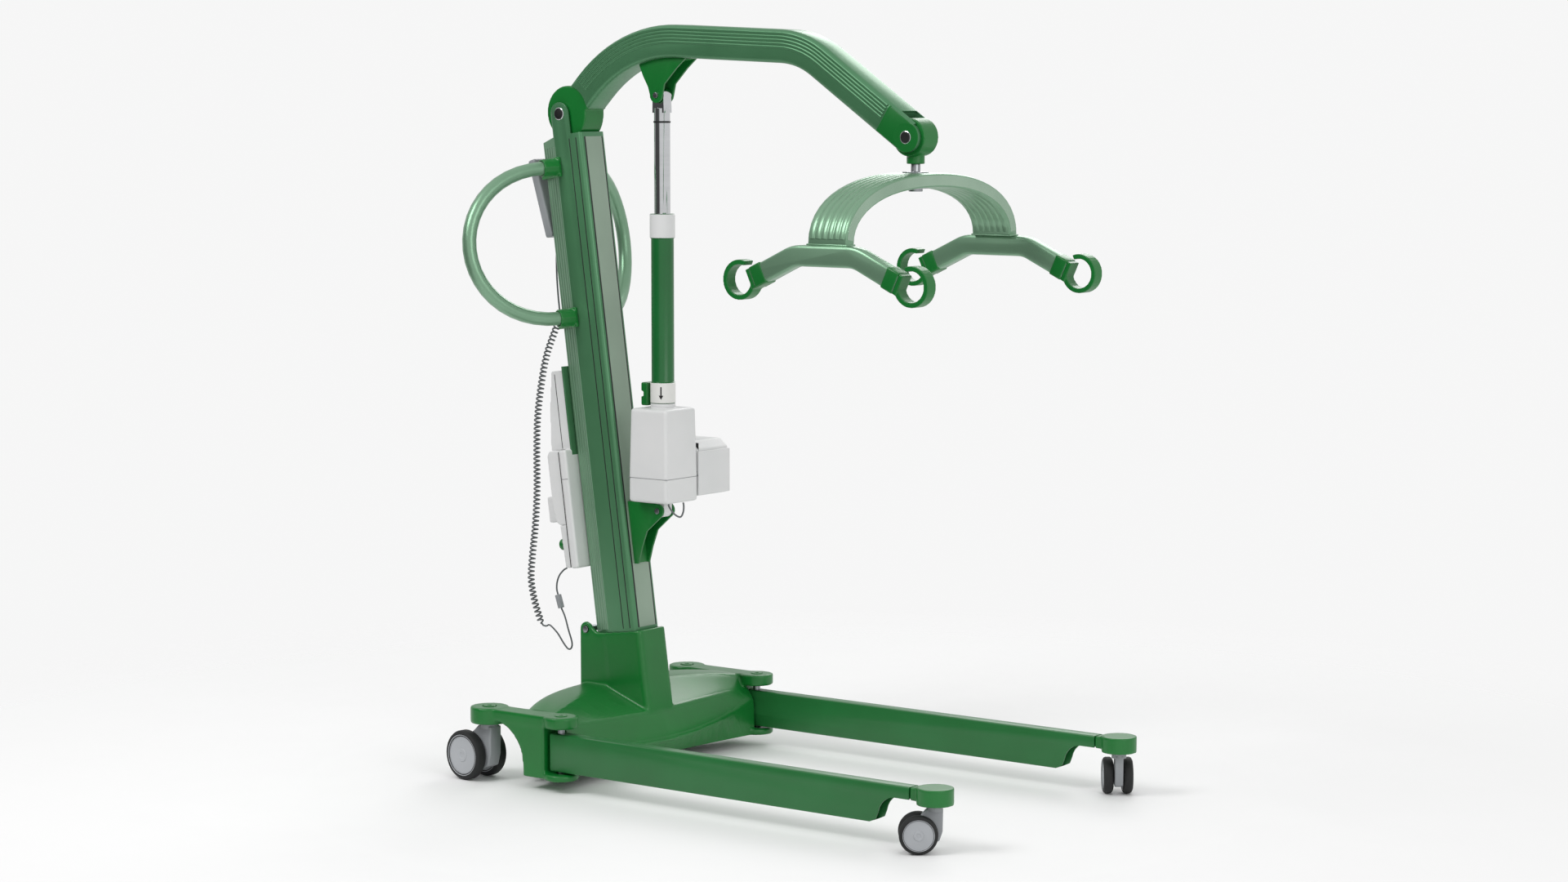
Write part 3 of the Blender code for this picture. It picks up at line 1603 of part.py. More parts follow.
def build_cords(palette):
    lead = LEAD_RADIUS
    tube("handset_lead", smooth_route(HANDSET_LEAD, 0.009), lead, palette["cord"], resolution=2)
    tube("coiled_cord", smooth_route(COILED_CORD, 0.020), COIL_RADIUS, palette["cord"], resolution=3)
    tube("return_lead", smooth_route(RETURN_LEAD, 0.007), lead, palette["cord"], resolution=2)
    tube("box_lead", smooth_route(BOX_LEAD, 0.007), lead, palette["cord"], resolution=2)
    tube("motor_cable", smooth_route(MOTOR_CABLE, 0.006), lead, palette["cord"], resolution=2)
    start = Vector(RETURN_LEAD[-1])
    end = Vector(BOX_LEAD[0])
    along = (end - start).normalized()
    tube(
        "cord_connector",
        [tuple(start + along * 2 * GAP), tuple(end - along * 2 * GAP)],
        0.0072,
        palette["grey"],
        resolution=2,
    )


def main():
    clear_scene()
    palette = make_palette()
    mast_frame = add_empty("mast_frame", (MAST_FOOT[0], 0.0, MAST_FOOT[1]), (0.0, -MAST_LEAN, 0.0))
    bpy.context.view_layer.update()

    build_base(palette["casting"], mast_frame)
    build_leg_drive(palette)
    for side, name in ((-1, "right"), (1, "left")):
        pivot = build_leg(side, name, palette)[0]
        build_caster(
            f"front_{name}",
            (FRONT_AXIS_X - LEG_PIVOT_X, 0.0),
            FRONT_YAWS[name],
            FRONT_WHEEL_RADIUS,
            FRONT_WHEEL_WIDTH,
            FRONT_WHEEL_GAP,
            FRONT_TRAIL,
            FRONT_PAD_BOTTOM - GAP,
            0.0150,
            palette,
            pivot,
        )
        rear = build_caster(
            f"rear_{name}",
            (REAR_AXIS_X, side * HALF_TRACK),
            REAR_YAWS[name],
            REAR_WHEEL_RADIUS,
            REAR_WHEEL_WIDTH,
            REAR_WHEEL_GAP,
            REAR_TRAIL,
            REAR_PAD_BOTTOM - GAP,
            0.0190,
            palette,
        )
        build_brake(name, rear[0], palette)
        build_handle(side, name, palette, mast_frame)

    build_mast(palette, mast_frame)
    build_handle_clamp("handle_clamp_upper", HANDLE_TOP_W, palette, mast_frame)
    build_handle_clamp("handle_clamp_lower", HANDLE_BOTTOM_W, palette, mast_frame)
    build_lower_bracket(palette)
    pivot = mast_frame.matrix_world @ Vector((ARM_PIVOT[0], 0.0, ARM_PIVOT[1]))
    tip, run = build_arm(palette, pivot)[3:]
    build_gusset(palette, run)
    build_actuator(palette)
    build_hub(palette, tip)
    build_swivel_bolt(palette, tip.x)
    build_arch(palette, tip.x)
    for side, name in ((-1, "right"), (1, "left")):
        build_bar(side, name, palette, tip.x)
        for end, place in ((-1, "rear"), (1, "front")):
            build_hook(side, end, f"spreader_hook_{place}_{name}", palette, tip.x)
    build_controls(palette, mast_frame)
    build_handset(palette, mast_frame)
    build_cords(palette)


main()
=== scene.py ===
# %% [markdown]
# # Mobile patient lift hoist
# The mechanical model gives every position. This script dresses it: cast and extruded green paint,
# moulded housings, a chromed rod, twin-wheel casters, and a coiled hand-control cord.

# %%
import json
import math

import bmesh
import bpy
from mathutils import Matrix, Vector

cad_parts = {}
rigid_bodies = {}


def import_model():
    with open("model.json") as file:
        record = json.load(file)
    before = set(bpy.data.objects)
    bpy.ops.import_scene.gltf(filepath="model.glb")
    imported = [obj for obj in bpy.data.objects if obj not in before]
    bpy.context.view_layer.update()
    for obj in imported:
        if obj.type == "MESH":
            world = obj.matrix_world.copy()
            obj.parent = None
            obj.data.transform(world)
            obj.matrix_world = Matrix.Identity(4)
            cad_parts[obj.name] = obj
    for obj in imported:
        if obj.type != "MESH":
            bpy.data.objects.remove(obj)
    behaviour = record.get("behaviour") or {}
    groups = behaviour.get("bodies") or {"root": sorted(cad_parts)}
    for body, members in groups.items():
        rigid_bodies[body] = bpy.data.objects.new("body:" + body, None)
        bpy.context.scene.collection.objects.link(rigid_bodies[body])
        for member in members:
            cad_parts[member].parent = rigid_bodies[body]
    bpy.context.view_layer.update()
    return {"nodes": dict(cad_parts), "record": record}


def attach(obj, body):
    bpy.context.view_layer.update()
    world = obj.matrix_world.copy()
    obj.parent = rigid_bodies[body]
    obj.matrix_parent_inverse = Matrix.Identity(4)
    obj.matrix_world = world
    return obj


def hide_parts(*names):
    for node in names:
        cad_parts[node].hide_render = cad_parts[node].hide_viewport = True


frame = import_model()
BODY = {}
for body_name, node_names in frame["record"]["behaviour"]["bodies"].items():
    for node_name in node_names:
        BODY[node_name] = body_name
print(f"{len(BODY)} solids in the mechanical model")

# %% [markdown]
# ## Camera
# The hoist is seen from its right and from a little in front, at about eye height. A wide lens
# close by would make the near leg look far too big, so a long lens stands well back instead.

# %%
AZIMUTH = math.radians(37.39)
PITCH = math.radians(5.912)
camera_data = bpy.data.cameras.new("camera")
camera_data.lens = 79.93
camera_data.sensor_width = 36.0
camera = bpy.data.objects.new("camera", camera_data)
bpy.context.scene.collection.objects.link(camera)
camera.location = (4.3256, -5.644, 1.453)
level = Vector((-math.sin(AZIMUTH), math.cos(AZIMUTH), 0.0))
look = level * math.cos(PITCH) - Vector((0.0, 0.0, math.sin(PITCH)))
camera.rotation_euler = look.to_track_quat("-Z", "Y").to_euler()
bpy.context.scene.camera = camera


# %% [markdown]
# ## Materials
# The real surfaces are paints, anodised aluminium, moulded plastics, rubber, plated steel and hard
# chrome. Each could have its own node tree, but they differ only in colour, gloss and grain, so one
# function makes them all: a slow drift between two near colours, and a fine grain in gloss and height.
# Grain is in cells per metre. Most real grain is finer than a millimetre and would not show at this
# distance, so it is drawn as cells of about 0.6 to 3 mm.

# %%
def srgb(code):
    """A hex colour turned into the linear values that shaders use."""
    channels = [int(code[i : i + 2], 16) / 255 for i in (1, 3, 5)]
    return (*(c / 12.92 if c <= 0.04045 else ((c + 0.055) / 1.055) ** 2.4 for c in channels), 1.0)


def add_node(tree, kind, links=None, **values):
    """One node, with its input values, and links from {input: output socket}."""
    node = tree.nodes.new(kind)
    for key, value in values.items():
        if key in node.inputs.keys():
            node.inputs[key].default_value = value
        else:
            setattr(node, key, value)
    for key, socket in (links or {}).items():
        tree.links.new(socket, node.inputs[key])
    return node


BUMP_PER_DEPTH = 4
BUMP_HEIGHT = 0.0002
GLOSS_DRIFT = 0.03
MIRROR_LIMIT = 0.03


def finish_of(
    name,
    colour,
    dark,
    roughness,
    metallic=0.0,
    grain=900.0,
    depth=0.02,
    coat=0.0,
    stretch=(1, 1, 1),
):
    """A surface whose colour and gloss drift a little, with a fine grain of its own."""
    material = bpy.data.materials.new(name)
    material.use_nodes = True
    tree = material.node_tree
    shader = tree.nodes["Principled BSDF"]
    place = add_node(tree, "ShaderNodeTexCoord")
    mapped = add_node(tree, "ShaderNodeMapping", {"Vector": place.outputs["Object"]}, Scale=stretch)
    spot = {"Vector": mapped.outputs[0]}
    cloud = add_node(tree, "ShaderNodeTexNoise", spot, Scale=7.0, Detail=5.0)
    fine = add_node(tree, "ShaderNodeTexNoise", spot, Scale=grain, Detail=3.0)
    colours = add_node(tree, "ShaderNodeValToRGB", {"Fac": cloud.outputs["Fac"]})
    colours.color_ramp.elements[0].position = 0.30
    colours.color_ramp.elements[1].position = 0.72
    colours.color_ramp.elements[0].color = srgb(dark)
    colours.color_ramp.elements[1].color = srgb(colour)
    gloss = add_node(tree, "ShaderNodeMapRange", {"Value": fine.outputs["Fac"]})
    gloss.inputs["To Min"].default_value = max(roughness - GLOSS_DRIFT, MIRROR_LIMIT)
    gloss.inputs["To Max"].default_value = roughness + GLOSS_DRIFT
    height = {"Height": fine.outputs["Fac"]}
    strength = depth * BUMP_PER_DEPTH
    bump = add_node(tree, "ShaderNodeBump", height, Strength=strength, Distance=BUMP_HEIGHT)
    tree.links.new(colours.outputs["Color"], shader.inputs["Base Color"])
    tree.links.new(gloss.outputs["Result"], shader.inputs["Roughness"])
    tree.links.new(bump.outputs["Normal"], shader.inputs["Normal"])
    shader.inputs["Metallic"].default_value = metallic
    shader.inputs["Coat Weight"].default_value = coat
    shader.inputs["Coat Roughness"].default_value = 0.15
    return material


# Gloss paint on a sand casting: deep green, with a slightly rippled shine.
CAST = finish_of(
    "gloss_green_cast_paint", "#0b742b", "#096826", 0.36, grain=420, depth=0.06, coat=0.10,
)
# Satin powder coat on a steel box section: a duller, flatter green.
LEG = finish_of(
    "satin_green_leg_paint", "#1f6f36", "#1b662f", 0.38, grain=650, depth=0.03, coat=0.08,
)
# Dyed, anodised aluminium extrusion: a greyer green that still shines like metal.
PROFILE = finish_of(
    "satin_green_anodised", "#558c64", "#4d825b", 0.34, 0.40, grain=700, depth=0.015, coat=0.10,
)
# The same anodised metal in a paler green: bright where it turns. On the mast's rear ribs this paler
# green is a painted highlight.
PALE = finish_of(
    "pale_green_anodised_and_painted_highlight", "#86ad8f", "#7da486", 0.32, 0.55, grain=700, depth=0.015, coat=0.10,
)
# Enamel on a drawn tube: a clean, long highlight.
TUBE = finish_of(
    "deep_green_tube_paint", "#126a30", "#0f5f2a", 0.32, grain=600, depth=0.02, coat=0.20,
)
# Moulded, painted clamps and knobs: the freshest green.
BRIGHT = finish_of(
    "green_sleeve_paint", "#0f782e", "#0c6c28", 0.30, grain=600, depth=0.02, coat=0.20,
)
# ABS with a fine spark texture: soft, light grey.
HOUSING = finish_of("light_grey_moulding", "#e2e2e2", "#dadbdb", 0.42, grain=1500, depth=0.08)
# The shaded gap between two ABS shells.
SEAM = finish_of("shadowed_parting_line", "#8c8e90", "#7c7e80", 0.60, grain=1500, depth=0.05)
# Glass-filled nylon: mid grey, with a dull sheen.
GREY = finish_of("mid_grey_nylon", "#9a9da0", "#8b8e92", 0.44, grain=1300, depth=0.08)
# A moulded wheel cover: paler and smoother than its fork.
DISC = finish_of("pale_grey_wheel_disc", "#b3b6ba", "#a8abaf", 0.40, grain=1200, depth=0.05)
# A vinyl strip let into the mast: greenish grey.
STRIP = finish_of("grey_insert_strip", "#9aae9c", "#8fa391", 0.38, 0.25, grain=1100, depth=0.04)
# Black ABS: dark, with a broad, dull highlight. The same black, laid in the mast's grooves and in gaps
# between shells, is painted shade.
BLACK = finish_of("black_moulding_and_painted_shade", "#151617", "#0e0f10", 0.50, grain=1400, depth=0.12)
# Rubber tread: almost no shine.
TYRE = finish_of("black_rubber_tread", "#1e1f20", "#141515", 0.68, grain=900, depth=0.20)
# A PVC cord jacket: soft grey.
CORD = finish_of("grey_cord_jacket", "#6a6e70", "#5c6062", 0.46, grain=1600, depth=0.08)
# White vinyl: the brightest piece, and flat.
WHITE = finish_of("white_vinyl", "#e9e9e6", "#e0e0dc", 0.38, grain=1700, depth=0.03)
# Hard chrome on a ground rod: close to a mirror, drawn out along the rod.
CHROME = finish_of(
    "hard_chrome", "#e0e2e4", "#d4d6d8", 0.07, 1.0, grain=300, depth=0.0, stretch=(1, 1, 8),
)
# Zinc plate on pins and bolts: grey metal with a blurred shine.
ZINC = finish_of("zinc_plated_steel", "#a7aaad", "#8f9295", 0.30, 1.0, grain=700, depth=0.05)
# A painted highlight along each edge of the arch: a thin pale metallic strip.
EDGE_HIGHLIGHT = finish_of("painted_edge_highlight", "#a9c4ae", "#98b59e", 0.22, 0.8, grain=900, depth=0.03)
print(f"{len(bpy.data.materials)} finishes")

# %% [markdown]
# ## Building helpers
# Most pieces are one of five things: a solid with softened edges, a box, a turned shape, a section
# carried along a path, or a tube along a path. Each has one helper that builds the mesh in place, so
# that every object stays at the origin, as the mechanical model's do.


# %%
def link(name, mesh, material, smooth=32.0):
    """A mesh put in the scene, smooth up to the given angle between faces."""
    obj = bpy.data.objects.new(name, mesh)
    bpy.context.scene.collection.objects.link(obj)
    mesh.materials.clear()
    mesh.materials.append(material)
    mesh.shade_smooth()
    mesh.set_sharp_from_angle(angle=math.radians(smooth))
    return obj


def baked(obj, smooth=32.0):
    """The object with its modifiers applied."""
    graph = bpy.context.evaluated_depsgraph_get()
    mesh = bpy.data.meshes.new_from_object(obj.evaluated_get(graph))
    obj.modifiers.clear()
    obj.data = mesh
    mesh.shade_smooth()
    mesh.set_sharp_from_angle(angle=math.radians(smooth))
    return obj


def mesh_of(build):
    """The mesh that a function draws, with its faces turned outwards."""
    mesh = bpy.data.meshes.new("mesh")
    shape = bmesh.new()
    build(shape)
    bmesh.ops.recalc_face_normals(shape, faces=shape.faces)
    shape.to_mesh(mesh)
    shape.free()
    return mesh


def skin(node, material, bevel=0.0, voxel=0.0, passes=6, smooth=32.0):
    """A finished surface for a solid: its own shape with softened edges, or re-skinned as cast."""
    shape = bmesh.new()
    shape.from_mesh(frame["nodes"][node].data)
    bmesh.ops.remove_doubles(shape, verts=shape.verts, dist=0.00002)
    flat = math.radians(0.5)
    bmesh.ops.dissolve_limit(shape, angle_limit=flat, verts=shape.verts, edges=shape.edges)
    mesh = bpy.data.meshes.new(node)
    shape.to_mesh(mesh)
    shape.free()
    obj = link(node + "_skin", mesh, material, smooth)
    if voxel:
        remesh = obj.modifiers.new("remesh", "REMESH")
        remesh.mode = "VOXEL"
        remesh.voxel_size = voxel
        soften = obj.modifiers.new("soften", "SMOOTH")
        soften.factor = 0.5
        soften.iterations = passes
        thin = obj.modifiers.new("thin", "DECIMATE")
        thin.ratio = 0.5
        baked(obj, 60.0)
    elif bevel:
        edge = obj.modifiers.new("edge", "BEVEL")
        edge.width = bevel
        edge.segments = 3
        edge.limit_method = "ANGLE"
        edge.angle_limit = math.radians(35)
        baked(obj, smooth)
    obj.data.materials.clear()
    obj.data.materials.append(material)
    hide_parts(node)
    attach(obj, BODY[node])
    return obj


def sweep(name, path, section, material, smooth=32.0):
    """A section of (side, up) points carried along a path that stays in one upright plane."""
    points = [Vector(p) for p in path]
    ends = points[-1] - points[0]
    side = Vector((0, 1, 0)) if abs(ends.x) > abs(ends.y) else Vector((1, 0, 0))

    def build(shape):
        rings = []
        for i, point in enumerate(points):
            ahead = points[min(i + 1, len(points) - 1)] - points[max(i - 1, 0)]
            up = ahead.normalized().cross(side).normalized()
            up = -up if abs(ends.x) > abs(ends.y) and up.z < 0 else up
            rings.append([shape.verts.new(point + side * a + up * b) for a, b in section])
        for near, far in zip(rings, rings[1:]):
            for i in range(len(section)):
                j = (i + 1) % len(section)
                shape.faces.new((near[i], near[j], far[j], far[i]))
        shape.faces.new(rings[0])
        shape.faces.new(rings[-1])

    return link(name, mesh_of(build), material, smooth)


def block(name, size, centre, material, matrix=None, bevel=0.0008):
    """A box with softened edges."""
    turn = matrix or Matrix.Identity(4)

    def build(shape):
        bmesh.ops.create_cube(shape, size=1.0)
        bmesh.ops.scale(shape, vec=size, verts=shape.verts)
        bmesh.ops.translate(shape, vec=centre, verts=shape.verts)
        edges = shape.edges[:]
        bmesh.ops.bevel(shape, geom=edges, offset=bevel, segments=3, affect="EDGES", profile=0.5)
        bmesh.ops.transform(shape, matrix=turn, verts=shape.verts)

    return link(name, mesh_of(build), material)


def turned(name, profile, matrix, material, steps=64, smooth=32.0):
    """A lathe about local Z of (radius, height) points."""

    def build(shape):
        rings = []
        for radius, height in profile:
            if radius < 1e-6:
                rings.append([shape.verts.new((0, 0, height))])
                continue
            turns = [2 * math.pi * k / steps for k in range(steps)]
            around = [(radius * math.cos(a), radius * math.sin(a), height) for a in turns]
            rings.append([shape.verts.new(place) for place in around])
        for low, high in zip(rings, rings[1:]):
            for k in range(steps):
                j = (k + 1) % steps
                lower = [low[k % len(low)], low[j % len(low)]]
                upper = [high[j % len(high)], high[k % len(high)]]
                unique = list(dict.fromkeys(lower + upper))
                if len(unique) > 2:
                    shape.faces.new(unique)
        bmesh.ops.transform(shape, matrix=matrix, verts=shape.verts)

    return link(name, mesh_of(build), material, smooth)


def merged(name, objects, material):
    """Several pieces of one material as one."""
    shape = bmesh.new()
    for obj in objects:
        shape.from_mesh(obj.data)
        bpy.data.objects.remove(obj, do_unlink=True)
    mesh = bpy.data.meshes.new(name)
    shape.to_mesh(mesh)
    shape.free()
    return link(name, mesh, material)


def smooth_route(points, spacing):
    """Places at even spacing on a smooth curve through the route's points."""
    vectors = [Vector(p) for p in points]
    dense = []
    for i in range(len(vectors) - 1):
        before = vectors[i - 1] if i else 2 * vectors[0] - vectors[1]
        after = vectors[i + 2] if i + 2 < len(vectors) else 2 * vectors[-1] - vectors[-2]
        a, b = vectors[i], vectors[i + 1]
        for step in range(24):
            t = step / 24
            dense.append(
                0.5
                * (
                    2 * a
                    + (b - before) * t
                    + (2 * before - 5 * a + 4 * b - after) * t**2
                    + (3 * a - before - 3 * b + after) * t**3
                )
            )
    dense.append(vectors[-1])
    total = route_length(dense)
    count = max(2, round(total / spacing))
    placed, walked = [dense[0]], 0.0
    for p, q in zip(dense, dense[1:]):
        step = (q - p).length
        while len(placed) < count and walked + step >= total * len(placed) / count:
            placed.append(p.lerp(q, (total * len(placed) / count - walked) / step))
        walked += step
    return placed + [dense[-1]]


def route_length(points):
    return sum((Vector(b) - Vector(a)).length for a, b in zip(points, points[1:]))


def cord_tube(name, path, radius, material, sides=10):
    """A round tube along a path, with its section carried without twist."""
    points = [Vector(p) for p in path]

    def build(shape):
        ahead = (points[1] - points[0]).normalized()
        across = ahead.cross(Vector((0.31, 0.95, 0.05))).normalized()
        rings = []
        for i, point in enumerate(points):
            ahead = (points[min(i + 1, len(points) - 1)] - points[max(i - 1, 0)]).normalized()
            across = (across - ahead * across.dot(ahead)).normalized()
            other = ahead.cross(across)
            turns = [2 * math.pi * k / sides for k in range(sides)]
            around = [across * math.cos(a) + other * math.sin(a) for a in turns]
            rings.append([shape.verts.new(point + radius * way) for way in around])
        for near, far in zip(rings, rings[1:]):
            for k in range(sides):
                j = (k + 1) % sides
                shape.faces.new((near[k], near[j], far[j], far[k]))
        shape.faces.new(rings[0])
        shape.faces.new(rings[-1])

    return link(name, mesh_of(build), material, 60.0)


# %% [markdown]
# ## Cords
# The hand control's cord leaves its lower end, winds into a coil, loops under it and comes up to an
# inline connector. A short lead goes on into the control box, and another joins the motor. A bump map
# could fake the coil, but its outline would stay straight, so the tube really winds round its route.

# %%
HANDSET_LEAD = [
    (-0.6035, 0.0, 1.1170), (-0.6020, 0.0, 1.1050), (-0.6030, 0.0, 1.0700), (-0.6020, 0.0, 1.0300),
    (-0.5985, 0.0, 0.9900), (-0.5950, 0.0, 0.9600), (-0.5960, 0.0, 0.9420),
]
COILED_CORD = [
    (-0.5975, 0.0, 0.9410), (-0.6060, 0.0, 0.9220), (-0.6320, 0.0, 0.8650), (-0.6475, 0.0, 0.8060),
    (-0.6600, 0.0, 0.7290), (-0.6633, 0.0, 0.6510), (-0.6633, 0.0, 0.5730), (-0.6684, 0.0, 0.4960),
    (-0.6790, 0.0, 0.4160), (-0.6822, 0.0, 0.3710), (-0.6745, 0.0, 0.3300), (-0.6600, 0.0, 0.2915),
    (-0.6500, 0.0, 0.2740),
]
RETURN_LEAD = [
    (-0.6485, 0.0, 0.2722), (-0.6390, 0.0, 0.2715), (-0.6287, 0.0, 0.2745), (-0.6074, 0.0, 0.2593),
    (-0.5900, 0.0, 0.2390), (-0.5770, 0.0, 0.2275), (-0.5680, 0.0, 0.2300), (-0.5660, 0.0, 0.2430),
    (-0.5760, 0.0, 0.2700), (-0.5855, 0.0, 0.2972), (-0.5955, 0.0, 0.3150),
]
BOX_LEAD = [
    (-0.6052, 0.0, 0.3440), (-0.6085, 0.0, 0.3560), (-0.6070, 0.0, 0.3720), (-0.6000, 0.0, 0.3870),
    (-0.5880, 0.0, 0.3990), (-0.5790, 0.0, 0.4040),
]
MOTOR_CABLE = [
    (-0.2680, -0.0330, 0.5690), (-0.2650, -0.0310, 0.5600), (-0.2630, -0.0200, 0.5480),
    (-0.2620, -0.0080, 0.5410), (-0.2620, 0.0020, 0.5400), (-0.2620, 0.0090, 0.5490),
    (-0.2625, 0.0115, 0.5600), (-0.2640, 0.0118, 0.5690),
]
LEAD_RADIUS = 0.0019
COIL_MIDDLE = 0.0061
COIL_PITCH = 0.0094
COIL_STEPS = 16
COIL_OPENING_TURNS = 1.2


def coil_about(route):
    """A helix round a route, opening and closing over its first and last turns."""
    length = route_length(route)
    turns = round(length / COIL_PITCH)
    steps = COIL_STEPS * turns
    placed = smooth_route(route, length / steps)
    wound = []
    for i, point in enumerate(placed):
        ahead = (placed[min(i + 1, len(placed) - 1)] - placed[max(i - 1, 0)]).normalized()
        across = ahead.cross(Vector((0, 1, 0))).normalized()
        share = i / (len(placed) - 1)
        nearest_end = min(share, 1 - share) * turns
        opening = min(1.0, nearest_end / COIL_OPENING_TURNS)
        angle = 2 * math.pi * turns * share
        offset = across * math.cos(angle) + Vector((0, 1, 0)) * math.sin(angle)
        wound.append(point + offset * COIL_MIDDLE * opening)
    return wound


hand_path = smooth_route(HANDSET_LEAD, 0.004)
hand_path += coil_about(smooth_route(COILED_CORD, 0.004))
hand_path += smooth_route(RETURN_LEAD, 0.004)
hand_cord = cord_tube("hand_control_cord", hand_path, LEAD_RADIUS, CORD)
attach(hand_cord, BODY["coiled_cord"])
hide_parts("handset_lead", "coiled_cord", "return_lead")
connector = skin("cord_connector", GREY, bevel=0.0008)
print(f"hand control cord {route_length(hand_path):.3f} m along its turns")
for cord_name, route in (("box_lead", BOX_LEAD), ("motor_cable", MOTOR_CABLE)):
    path = smooth_route(route, 0.003)
    piece = cord_tube(cord_name + "_cord", path, LEAD_RADIUS, CORD)
    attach(piece, BODY[cord_name])
    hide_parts(cord_name)

# %% [markdown]
# ## Castings, profiles and housings
# A casting has a fillet in every corner, a bent or extruded piece only softened edges. Fillets could
# be bevels, but the castings' edges meet in too many ways, so those pieces get a new skin that is
# smoothed. The rest keep their own faces and take a small bevel. The housing tapers towards its top.

# %%
skin("base_casting", CAST, voxel=0.0030, passes=6)
skin("arm_knuckle", CAST, voxel=0.0020, passes=5)
skin("swivel_hub", CAST, voxel=0.0016, passes=4)
for side in ("left", "right"):
    skin(f"leg_nose_{side}", CAST, voxel=0.0020, passes=4)
    skin(f"leg_{side}", LEG, bevel=0.0010)
    skin(f"leg_pin_{side}", ZINC, bevel=0.0006)
    skin(f"handle_{side}", PALE, smooth=60)
    skin(f"spreader_bar_{side}", PALE, bevel=0.0006, smooth=40)
    skin(f"brake_pedal_{side}", BLACK, bevel=0.0015)
    for end in ("front", "rear"):
        skin(f"spreader_hook_{end}_{side}", CAST, voxel=0.0012, passes=4)
for node in ("handle_clamp_upper", "handle_clamp_lower"):
    skin(node, BRIGHT, voxel=0.0014, passes=3)
skin("mast", PROFILE, bevel=0.0008)
for node in ("actuator_lower_bracket", "arm_gusset"):
    skin(node, CAST, bevel=0.0008)
skin("arm", PROFILE, bevel=0.0008, smooth=40)
skin("spreader_arch", PALE, bevel=0.0008, smooth=40)
for node in ("arm_pivot_pin", "leg_drive_motor"):
    skin(node, BLACK, bevel=0.0008)
ZINC_PLATED = (
    "mast_cross_bolt", "hub_pin", "rod_pin", "actuator_lower_pin", "swivel_bolt", "leg_drive_rod",
)
for node in ZINC_PLATED:
    skin(node, ZINC, bevel=0.0006)
skin("actuator_rod", CHROME, bevel=0.0006)
ACTUATOR_X = -0.3085
TAPER_START, TAPER_HEIGHT, TAPER = 0.626, 0.142, 0.055
housing = skin("actuator_housing", HOUSING, voxel=0.0018, passes=6)
for vertex in housing.data.vertices:
    climb = (vertex.co.z - TAPER_START) / TAPER_HEIGHT
    if 0 < climb < 1.02:
        vertex.co.x = ACTUATOR_X + (vertex.co.x - ACTUATOR_X) * (1 - TAPER * climb)
        vertex.co.y *= 1 - TAPER * climb
skin("actuator_motor", HOUSING, voxel=0.0018, passes=8)
skin("control_box", HOUSING, voxel=0.0018, passes=4)
skin("battery_pack", HOUSING, voxel=0.0018, passes=5)
skin("actuator_tube", TUBE, bevel=0.0008)
skin("lowering_release", CAST, voxel=0.0010, passes=4)
skin("stop_button", BRIGHT, bevel=0.0008)
skin("handset", GREY, voxel=0.0012, passes=5)
skin("handset_hook", CAST, bevel=0.0008)
for node in ("handset_button_up", "handset_button_down"):
    skin(node, BLACK, bevel=0.0006)
skins = [obj.name for obj in bpy.data.objects if obj.name.endswith("_skin")]
print(f"{len(skins)} skinned solids")

# %% [markdown]
# ## Dome
# The casting's dome has a brow along its top and a crease down its front, both softly rounded. The
# solid underneath has few sections, so a smooth cover with many lies just over it. Screws close the
# pads above the casters and the leg pivots.


# %%
HALF_TRACK = 0.327
DOME_HALF = 0.305
COVER_HALF = 0.3045
COVER_STATIONS = 120
COVER_CLEARANCE = 0.0008
COVER_LOW = 0.0260
REAR_AXIS_X, LEG_PIVOT_X, PAD_TOP = -0.5105, -0.3135, 0.1570


def dome_corners(y):
    """The dome's outline at one place across the base."""
    t = min(abs(y) / DOME_HALF, 1.0)

    def between(a, b, share):
        return a + (b - a) * share

    rear = between(-0.505, -0.430, t**2)
    crown = between(0.1685, 0.1560, t**4)
    return [
        (rear, COVER_LOW),
        (rear, crown - 0.010),
        (rear + 0.012, crown),
        (between(-0.4485, -0.350, t), crown - 0.001),
        (between(-0.316, -0.325, t), between(0.125, 0.128, t)),
        (between(-0.292, -0.305, t), between(0.061, 0.104, t**2.2)),
        (between(-0.322, -0.303, t**2), COVER_LOW),
    ]


def rounded(points, passes):
    """Chaikin's corner cutting, which keeps the two ends."""
    for _ in range(passes):
        cut = [points[0]]
        for a, b in zip(points, points[1:]):
            run = (Vector(b) - Vector(a)).length
            share = min(0.25, 0.007 / run)
            cut.append(tuple(Vector(a).lerp(Vector(b), share)))
            cut.append(tuple(Vector(a).lerp(Vector(b), 1 - share)))
        points = cut + [points[-1]]
    return points


def build_dome(shape):
    rows = []
    middle = Vector((-0.40, 0.09))
    for i in range(COVER_STATIONS + 1):
        y = -COVER_HALF + 2 * COVER_HALF * i / COVER_STATIONS
        row = []
        for corner in rounded(dome_corners(y), 3):
            out = (Vector(corner) - middle).normalized() * COVER_CLEARANCE
            row.append(shape.verts.new((corner[0] + out.x, y, corner[1] + out.y)))
        rows.append(row)
    for near, far in zip(rows, rows[1:]):
        for k in range(len(near) - 1):
            shape.faces.new((near[k], near[k + 1], far[k + 1], far[k]))


riding_dome = link("base_dome_cover", mesh_of(build_dome), CAST, 80)
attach(riding_dome, BODY["base_casting"])
for side in (-1, 1):
    for x, radius in ((REAR_AXIS_X, 0.0130), (LEG_PIVOT_X, 0.0120)):
        profile = [
            (0.0, -0.001), (radius * 0.35, -0.001), (radius * 0.40, 0.0012), (radius * 0.92, 0.0012),
            (radius, 0.0004), (radius, -0.002), (radius + 0.0012, -0.002), (radius + 0.0018, 0.0003),
        ]
        end_word = "rear" if x == REAR_AXIS_X else "front"
        name = f"pad_screw_{end_word}_{'left' if side > 0 else 'right'}"
        spot = Matrix.Translation((x, side * HALF_TRACK, PAD_TOP))
        screw = turned(name, profile, spot, CAST, 48)
        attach(screw, BODY["base_casting"])
print(f"dome cover of {len(riding_dome.data.polygons)} faces")
